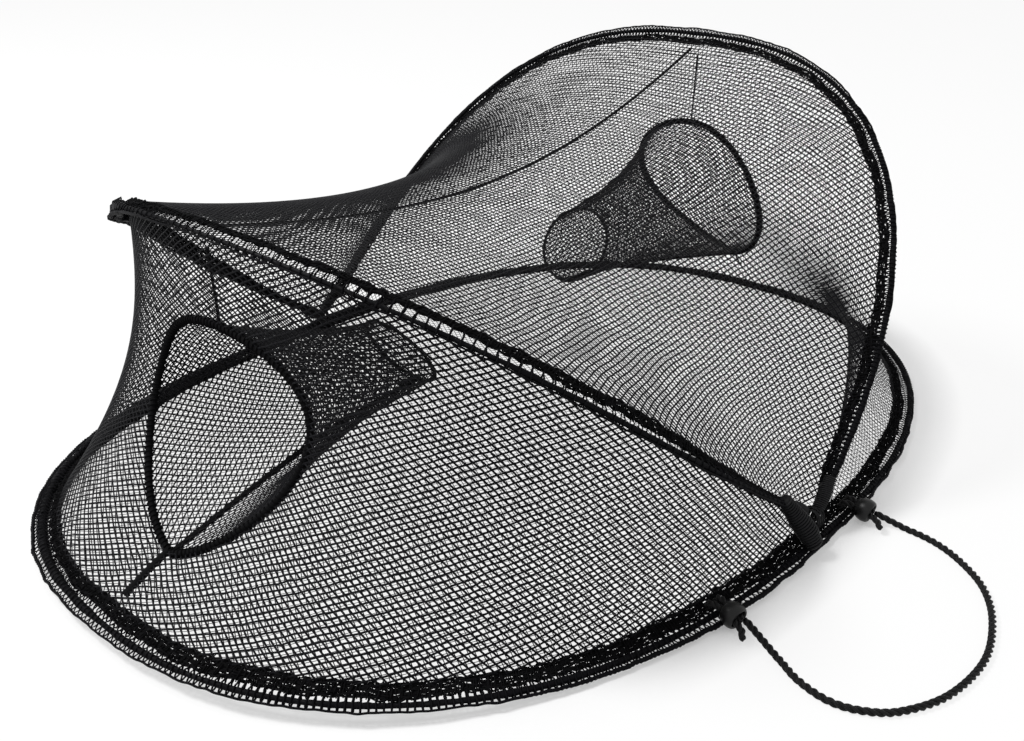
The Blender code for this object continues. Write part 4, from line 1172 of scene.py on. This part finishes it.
# %% Yarns of the netting
FRONT_YARN = (0.00096, 0.00064)
REAR_YARN = (0.00050, 0.00036)
TOP_YARN = (0.00088, 0.00058)
FLOOR_YARN = (0.00050, 0.00034)
SLEEVE_YARN = (0.00080, 0.00058)
FINE = 4
NET_WAVE = 0.0004
KNOT_SLIP = 0.00022


def net_tables(panel, wide, high):
    """Tables of s and t where fine columns and fine rows of the netting cross, nan beyond the hems."""
    s_line = np.linspace(0.0, 1.0, 1600)
    middle = panel.at(s_line, 0.5 + 0 * s_line)
    travel = travelled(middle)
    count = int(travel[-1] / wide * FINE)
    s = np.interp(np.arange(count) * wide / FINE + wide * 0.3, travel, s_line)
    t_line = np.linspace(0.0, 1.0, 501)
    places = panel.at(s[:, None], t_line[None, :])
    steps = np.linalg.norm(np.diff(places, axis=1), axis=2)
    arcs = np.concatenate([np.zeros((count, 1)), np.cumsum(steps, axis=1)], axis=1)
    arcs = arcs - arcs[:, 250:251]
    low, high_row = int(arcs.min() / high) - 1, int(arcs.max() / high) + 1
    levels = np.arange(low * FINE, high_row * FINE + 1) * high / FINE
    t = np.stack([np.interp(levels, arc, t_line, left=np.nan, right=np.nan) for arc in arcs])
    return np.broadcast_to(s[:, None], t.shape), t, -low * FINE


def runs_of(keep):
    """Start and end of each run of kept places."""
    edges = np.flatnonzero(np.diff(np.concatenate([[0], keep.astype(int), [0]])))
    return [(start, end) for start, end in zip(edges[::2], edges[1::2]) if end - start > 1]


def cut_run(places, facing, keep, stride):
    """The kept runs of one yarn, thinned to every `stride`-th place and the run's own ends."""
    lines, normals = [], []
    for start, end in runs_of(keep):
        whole = np.arange(start, end)
        spots = whole[(whole % stride == 0) | (whole == start) | (whole == end - 1)]
        lines.append(places[spots])
        normals.append(facing[spots])
    return lines, normals


def net_yarns(panel, wide, high, bias, seed, hole=None, part=None, flip=1.0):
    """Lines and facing directions of all yarns in a panel, clear of its hole and within its part.

    The yarns run along the sides of cells that are wide by high, or with bias from corner to corner.
    """
    s, t, middle = net_tables(panel, wide, high)
    keep = ~np.isnan(t)
    t = np.where(keep, t, 0.5)
    if hole is not None:
        keep &= ~inside_outline(s, t, hole)
    if part is not None:
        keep &= part(s, t, np.arange(t.shape[1])[None, :] - middle)
    places = panel.at(s, t)
    facing = panel.face(s, t) * flip
    inner = np.clip(np.minimum(t, 1 - t) * 14, 0, 1)[..., None]
    flat = places.reshape(-1, 3)
    slip = (NET_WAVE * drift(flat, 0.045, seed) + KNOT_SLIP * drift(flat, 0.007, seed + 1)).reshape(places.shape)
    slip -= (slip * facing).sum(axis=2, keepdims=True) * facing
    places = places + slip * inner
    lines, normals = [], []
    if bias:
        for mirrored in (1, -1):
            some, faces, kept = places[:, ::mirrored], facing[:, ::mirrored], keep[:, ::mirrored]
            for offset in range(-(s.shape[0] // FINE) * FINE, s.shape[1], FINE):
                rows = np.arange(max(0, -offset), min(s.shape[0], s.shape[1] - offset))
                slant = (rows, rows + offset)
                found = cut_run(some[slant], faces[slant], kept[slant], 3)
                lines, normals = lines + found[0], normals + found[1]
    else:
        for column in range(0, s.shape[0], FINE):
            found = cut_run(places[column], facing[column], keep[column], 6)
            lines, normals = lines + found[0], normals + found[1]
        for row in range(0, s.shape[1], FINE):
            found = cut_run(places[:, row], facing[:, row], keep[:, row], 6)
            lines, normals = lines + found[0], normals + found[1]
    return lines, normals


def laid_flat(lines, yarn):
    """Area of the yarns if each were pressed flat: its length times half its girth."""
    return sum(np.linalg.norm(np.diff(line, axis=0), axis=1).sum() for line in lines) * math.hypot(*yarn)


def add_net(name, node, yarn, flat, lines, normals):
    net = add_piece(name, *yarns(lines, normals, *yarn), NETTING)
    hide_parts(node)
    area = laid_flat(lines, yarn)
    print(f"{name}: {len(lines)} yarns, {area:.4f} m2 pressed flat, cut {flat[0]:.3f} x {flat[1]:.3f} m")
    return net


lines, normals = [], []
for places, facing, keep in floor_runs():
    for yarn in range(len(places)):
        found = cut_run(places[yarn], facing[yarn], keep[yarn], 4)
        lines, normals = lines + found[0], normals + found[1]
FLOOR_CUT = tuple(float(side) for side in np.ptp(np.concatenate(lines)[:, :2], axis=0))
floor_net = add_net("floor_netting", "floor_net", FLOOR_YARN, FLOOR_CUT, lines, normals)
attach(floor_net, "base")

# %% [markdown]
# The walls, the top and the funnels are held by the base and by an arch. When an arch folds down,
# every point between them should turn about the hinge by its share of the angle. A blend normally
# works along a straight line, so here each point's weight is worked out from its angle above the
# base, but the weights are not stored on the piece. A piece can bend across one joint only, so the
# top is two halves whose weights go back to 0 where they meet.

# %% Fold weights of the netting, by angle about the hinge
def fold_with(piece, arch, free_edge=False):
    """Bake the transform and work out weights by angle about the hinge line: 0 on the base, 1 on the arch, 0
    again at the top's middle. The weights are not stored.
    """
    side, tilt = (-1, FRONT_TILT) if arch == "front_arch" else (1, REAR_TILT)
    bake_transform(piece)
    places = np.zeros(len(piece.data.vertices) * 3, dtype=np.float32)
    piece.data.vertices.foreach_get("co", places)
    places = places.reshape(-1, 3).astype(float)
    reach = np.hypot(places[:, 2] - HINGE_HEIGHT, places[:, 0])
    angle = np.arctan2(places[:, 2] - HINGE_HEIGHT, side * places[:, 0])
    at_arch = tilt - arch_drop(reach) / np.maximum(reach, 0.02)
    if free_edge:
        between = (math.pi - FRONT_TILT - REAR_TILT) / 2
        weight = 1 - (angle - at_arch) / (tilt - at_arch + between)
    else:
        weight = angle / at_arch
    weight = np.clip(weight, 0.0, 1.0).astype(np.float32)
    return piece


def longest_runs(panel):
    """The cut's size: the panel's longest run along the hoops and its longest run from hem to hem."""
    steps = [np.linalg.norm(np.diff(panel.grid, axis=axis), axis=2).sum(axis) for axis in (0, 1)]
    return float(steps[0].max()), float(steps[1].max())


for label, panel in (("front wall", front_wall), ("rear wall", rear_wall), ("top", top)):
    print(label, "runs:", [round(run, 4) for run in longest_runs(panel)], "m")
FRONT_WALL_CUT = longest_runs(front_wall)
TOP_CUT = (longest_runs(top)[0], longest_runs(top)[1] / 2)
REAR_WALL_CUT = (0.60, 0.19)

# A mesh is the spacing of its two runs of yarn, in metres. On the front wall, which is cut on the
# bias, it is the width and height of a diamond instead, and the yarns there are 2.9 mm apart.
FRONT_WALL_MESH = (0.0056, 0.0034)
REAR_WALL_MESH = (0.0029, 0.0029)
TOP_MESH = (0.0028, 0.0032)

front_net = add_net("front_wall_netting", "front_wall_net", FRONT_YARN, FRONT_WALL_CUT,
                    *net_yarns(front_wall, *FRONT_WALL_MESH, True, 211, front_hole))
fold_with(front_net, "front_arch")
rear_net = add_net("rear_wall_netting", "rear_wall_net", REAR_YARN, REAR_WALL_CUT,
                   *net_yarns(rear_wall, *REAR_WALL_MESH, False, 223, rear_hole, flip=-1.0))
fold_with(rear_net, "rear_arch")
for label, half in (("front", lambda s, t, row: row <= 0), ("rear", lambda s, t, row: row >= 0)):
    top_net = add_net(f"top_netting_{label}", "top_net", TOP_YARN, TOP_CUT,
                      *net_yarns(top, *TOP_MESH, False, 307, part=half))
    fold_with(top_net, f"{label}_arch", free_edge=True)

# %% [markdown]
# A funnel is a sleeve of one layer of netting from the mouth's cord to a small round ring inside. It
# is cut as a sector of a ring and sewn along the trap's middle underneath, so its meshes stay square
# and its yarns end at that seam. The sleeve is drawn in a little between its ends and gathers into
# shallow pleats near the ring.

# %% Funnels, their rings and cords
THROAT_RADIUS = 0.024
THROAT_TILT = math.radians(30)
FUNNEL_DRAW_IN = 0.0060
FUNNEL_PITCH = 0.0029
# The cut that is printed for a funnel is smaller than its real flat sector, 0.329 x 0.161 m at the
# front and 0.378 x 0.200 m at the rear.
FUNNEL_CUT = (0.31, 0.14)
FRONT_THROAT = (-0.1060, 0.000, 0.0820)
REAR_THROAT = (0.0490, 0.000, 0.1050)
MOUTH_CORD_RADIUS = 0.0018
THROAT_RING_RADIUS = 0.0009


def throat_circle(centre, side, count):
    turn = 2 * math.pi * np.arange(count) / count
    leaning = np.array([side * math.sin(THROAT_TILT), 0.0, math.cos(THROAT_TILT)])
    return np.array(centre) + THROAT_RADIUS * (np.sin(turn)[:, None] * ACROSS - np.cos(turn)[:, None] * leaning)


def funnel_grid(mouth, centre, count, rings, seed):
    """Places (1 - k) mouth + k throat, drawn in by D sin(pi k) and pleated towards the throat."""
    wide, narrow = mouth.evenly(count), throat_circle(centre, mouth.side, count)
    k = np.linspace(0.0, 1.0, rings)[:, None, None]
    places = wide * (1 - k) + narrow * k
    middle = places.mean(axis=1, keepdims=True)
    spokes = unit(places - middle)
    turn = 2 * math.pi * np.arange(count)[None, :, None] / count
    dice = np.random.default_rng(seed)
    waves = sum(np.sin(n * turn + dice.uniform(0, 6.3) + 0.8 * k) for n in (7, 11, 16)) / 2
    pleats = 0.0011 * k**1.5 * (1 - k**8) * waves
    places = places - (FUNNEL_DRAW_IN * np.sin(math.pi * k) - pleats) * spokes
    return np.concatenate([places, places[:, :1]], axis=1).transpose(1, 0, 2)


def funnel_yarns(cone, mouth_length, seed):
    """Straight yarns of the flat sector X = r cos f, Y = r sin f, rolled into the sleeve."""
    columns = np.linalg.norm(np.diff(cone.grid, axis=1), axis=2).sum(axis=1)
    slant, ring_length = columns.mean(), 2 * math.pi * THROAT_RADIUS
    whole_turn = (mouth_length - ring_length) / slant
    outer, inner = mouth_length / whole_turn, ring_length / whole_turn
    lines, normals = [], []
    aside = FUNNEL_PITCH * (np.arange(-110, 111) + 0.4)[:, None]
    ahead = FUNNEL_PITCH / FINE * np.arange(-440, 441)[None, :]
    for x, y in ((ahead, aside), (aside, ahead)):
        radius, turn = np.hypot(x, y), np.arctan2(y, x) + 0 * x
        s, t = 0.5 + turn / whole_turn, (outer - radius) / (outer - inner)
        keep = (s > 0) & (s < 1) & (t > 0) & (t < 1)
        places, facing = cone.at(s, t), cone.face(s, t)
        slip = NET_WAVE * drift(places.reshape(-1, 3), 0.04, seed).reshape(places.shape)
        slip = slip * np.clip(np.minimum(t, 1 - t) * 10, 0, 1)[..., None]
        for yarn in range(len(places)):
            found = cut_run((places + slip)[yarn], facing[yarn], keep[yarn], 6)
            lines, normals = lines + found[0], normals + found[1]
    return lines, normals


def wound_thread(line, closed, radius, pitch, thickness, per_turn=10):
    """Thread wound round a line at an even pitch: a helix of that radius about it."""
    travel = travelled(line)
    turns = int(round(travel[-1] / pitch))
    spots = np.linspace(0.0, travel[-1], turns * per_turn + 1)
    centre = np.stack([np.interp(spots, travel, line[:, axis]) for axis in range(3)], axis=1)
    ahead = ahead_of(centre)
    if closed:
        reference = unit(np.cross(line[1] - line[0], line[-3] - line[0]) + 1e-12)
    else:
        reference = unit(np.cross(ahead.mean(axis=0) + 0.001, UP) + 0.001)
    out = unit(np.cross(ahead, reference + 0 * ahead))
    lift = np.cross(ahead, out)
    turn = 2 * math.pi * turns * np.linspace(0.0, 1.0, len(spots))[:, None]
    size = radius if np.ndim(radius) == 0 else np.interp(spots, travel, radius)[:, None]
    spokes = np.cos(turn) * out + np.sin(turn) * lift
    return yarns([centre + size * spokes], [spokes], thickness, thickness * 0.9)


def ring_tube(line, radius, sides, uneven, seed):
    """Closed round cord with a slightly uneven thickness."""
    ahead = ahead_of(line, True)
    plane = unit(np.cross(line[len(line) // 3] - line[0], line[2 * len(line) // 3] - line[0]))
    out = unit(np.cross(ahead, plane + 0 * ahead))
    lift = np.cross(out, ahead)
    dice = np.random.default_rng(seed)
    size = radius * (1 + uneven * dice.normal(size=(len(line), sides, 1)))
    return sweep(line, out, lift, round_section(1.0, sides) * size, True)


def closed_line(line):
    return np.concatenate([line, line[:1]])


FUNNELS = (("front", front_mouth, FRONT_THROAT, 401), ("rear", rear_mouth, REAR_THROAT, 433))
for label, mouth, centre, seed in FUNNELS:
    arch = f"{label}_arch"
    cone = Panel(funnel_grid(mouth, centre, 96, 40, seed))
    lines, normals = funnel_yarns(cone, mouth.length(), seed)
    sleeve = add_net(f"{label}_funnel_netting", f"{label}_funnel_net", SLEEVE_YARN, FUNNEL_CUT, lines, normals)
    fold_with(sleeve, arch)

    cord_line = mouth.evenly(160)
    parts = [ring_tube(cord_line, MOUTH_CORD_RADIUS, 10, 0.05, seed + 2),
             wound_thread(closed_line(cord_line), True, MOUTH_CORD_RADIUS + 0.0003, 0.0028, 0.0009)]
    cord = add_piece(f"{label}_mouth_lacing", *gather(parts), SEWING)
    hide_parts(f"{label}_mouth_cord")
    fold_with(cord, arch)

    ring_line = throat_circle(centre, mouth.side, 96)
    parts = [ring_tube(ring_line, THROAT_RING_RADIUS, 12, 0.0, seed + 3),
             wound_thread(closed_line(ring_line), True, THROAT_RING_RADIUS + 0.0002, 0.0029, 0.0006)]
    ring = add_piece(f"{label}_throat_hoop", *gather(parts), WIRE)
    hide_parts(f"{label}_throat_ring")
    fold_with(ring, arch)

# %% [markdown]
# The nets are joined by seams along the trap's middle: one over the top, one up each end wall, cut
# in two by the mouth, and one along the underside of each funnel. Each is a flat ridge of thread
# with short cross stitches.

# %% Seams along the middle
def seam_ridge(line, facing, width, height, seed, stitch_pitch=0.0026):
    """Low oval ridge along a line, lifted half its height off the net, with slanting stitches over it."""
    line, length = even_line(np.asarray(line), 0.0012)
    facing = unit(np.stack([np.interp(np.linspace(0, 1, len(line)), np.linspace(0, 1, len(facing)), column)
                            for column in np.asarray(facing).T], axis=1))
    ahead = ahead_of(line)
    out = unit(np.cross(facing, ahead))
    lift = np.cross(ahead, out)
    dice = np.random.default_rng(seed)
    ragged = 1 + 0.10 * dice.normal(size=(len(line), 10, 1))
    section = round_section(1.0, 10) * np.array([width / 2, height / 2]) * ragged
    core = sweep(line + lift * height * 0.25, out, lift, section)
    count = int(length / stitch_pitch)
    spots = (np.arange(count) + 0.5) / count * (len(line) - 1)
    spots = (spots + 0.4 * dice.normal(size=count)).clip(1, len(line) - 2).astype(int)
    share = np.array([-0.62, -0.3, 0.3, 0.62])[:, None]
    rise = np.array([0.05, 0.75, 0.75, 0.05])[:, None] * height
    threads = (line[spots][:, None] + share * width * out[spots][:, None] + rise * lift[spots][:, None]
               + share * 0.0012 * ahead[spots][:, None])
    return gather([core, yarns(list(threads), list(lift[spots][:, None] + 0 * threads), 0.0007, 0.0006)])


def add_seam(name, node, line, facing, width, height, seed):
    seam = add_piece(name, *seam_ridge(line, facing, width, height, seed), SEWING)
    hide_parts(node)
    return seam


WALLS = (("front", front_wall, front_hole, 1.0, 501), ("rear", rear_wall, rear_hole, -1.0, 521))
for label, panel, hole, flip, seed in WALLS:
    mouth = front_mouth if label == "front" else rear_mouth
    centre = FRONT_THROAT if label == "front" else REAR_THROAT
    low_width, high_width = (0.0044, 0.0015) if label == "front" else (0.0014, 0.0010)
    low = hole[np.argmin(hole[:, 1])]
    high = hole[len(hole) // 2]
    t_low, t_high = np.linspace(0.03, low[1], 40), np.linspace(high[1], 0.97, 40)
    s_low, s_high = np.linspace(0.5, low[0], 40), np.linspace(high[0], 0.5, 40)
    runs = (("lower", s_low, t_low, low_width, low_width * 0.6, seed),
            ("upper", s_high, t_high, high_width, high_width * 0.85, seed + 1))
    for run, s, t, across, height, own_seed in runs:
        ridge = add_seam(f"{label}_{run}_ridge", f"{label}_{run}_seam", panel.at(s, t),
                         panel.face(s, t) * flip, across, height, own_seed)
        fold_with(ridge, f"{label}_arch")
    grid = funnel_grid(mouth, centre, 24, 40, seed)[0]
    downwards = unit(grid - funnel_grid(mouth, centre, 24, 40, seed).mean(axis=0))
    below = add_seam(f"{label}_funnel_ridge", f"{label}_funnel_seam", grid, downwards, 0.0036, 0.0022, seed + 2)
    fold_with(below, f"{label}_arch")

for label, start, end, seed in (("front", 0.02, 0.5, 541), ("rear", 0.5, 0.98, 542)):
    t_line = np.linspace(start, end, 60)
    s_line = 0.5 + 0 * t_line
    ridge = add_seam(f"top_ridge_{label}", "top_seam", top.at(s_line, t_line), top.face(s_line, t_line),
                     0.0018, 0.0014, seed)
    fold_with(ridge, f"{label}_arch", free_edge=True)

# %% [markdown]
# At each hinge the arch ends are gathered, wound with thread and lashed to the base hem. The winding
# turns with its arch, and the lashing loops stay on the base. The front arch's near leg also has the
# ribbed bundle of thread that the photograph shows there. The windings and the bundle are pieces of
# the picture model only and take no node's place.

# %% Hinge windings and lashings
WINDING_START = 0.0030
WINDING_END = 0.0230
THREAD = 0.0011

for label, course in (("front", front_arch), ("rear", rear_arch)):
    parts = []
    for end in (0, 1):
        stations = np.linspace(WINDING_START, WINDING_END, 60)
        swell = 0.0026 + 0.0007 * np.sin(math.pi * (stations - WINDING_START) / (WINDING_END - WINDING_START))
        spots = course.length - stations if end else stations
        centre, out, lift = course.at(spots)
        centre = centre - out * 0.0010 * ease((stations - 0.008) / 0.012)[:, None]
        section = round_section(1.0, 12) * swell[:, None, None]
        parts.append(sweep(centre, out, lift, section))
        parts.append(wound_thread(centre, False, swell + 0.0003, THREAD * 1.02, THREAD, 12))
    winding = add_piece(f"{label}_arch_winding", *gather(parts), LASHING)
    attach(winding, f"{label}_arch")

LEG_WRAP = [(-0.0270, -0.2030, 0.0325), (-0.0225, -0.2075, 0.0235),
            (-0.0195, -0.2135, 0.0150), (-0.0180, -0.2190, 0.0070)]
wrap_line = smooth_path(LEG_WRAP, 0.0006)
share = np.linspace(0, 1, len(wrap_line))
swell = 0.0030 + 0.0020 * ease(share * 1.6) - 0.0012 * ease(share * 4 - 3)
ahead = ahead_of(wrap_line)
out = unit(np.cross(ahead, UP + 0 * ahead))
parts = [sweep(wrap_line, out, np.cross(ahead, out), round_section(1.0, 14) * swell[:, None, None]),
         wound_thread(wrap_line, False, swell + 0.0004, THREAD * 1.45, THREAD * 1.25, 12)]
wrapping = add_piece("near_leg_wrapping", *gather(parts), LASHING)
fold_with(wrapping, "front_arch")

for label, side in (("near", -1), ("far", 1)):
    turn = np.linspace(0, 2 * math.pi, 37)
    lines, normals = [], []
    for k, x in enumerate(np.array([-0.0042, -0.0030, -0.0014, 0.0003, 0.0018, 0.0034])):
        high, low = 0.0166 - 0.0003 * (k % 3), 0.0008
        wide = 0.0050 + 0.0002 * (k % 2)
        y = side * (0.2080 + wide * np.cos(turn) * (0.9 + 0.25 * np.sin(turn)))
        z = (high + low) / 2 + (high - low) / 2 * np.sin(turn)
        x_line = x + 0.0006 * np.sin(turn + k)
        line = np.stack([x_line, y, z], axis=1)
        lines.append(line)
        normals.append(unit(line - line.mean(axis=0)))
    lashing = add_piece(f"{label}_hinge_lashing", *yarns(lines, normals, THREAD, THREAD), LASHING)
    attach(lashing, "base")
    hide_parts(f"{label}_hinge_tie")
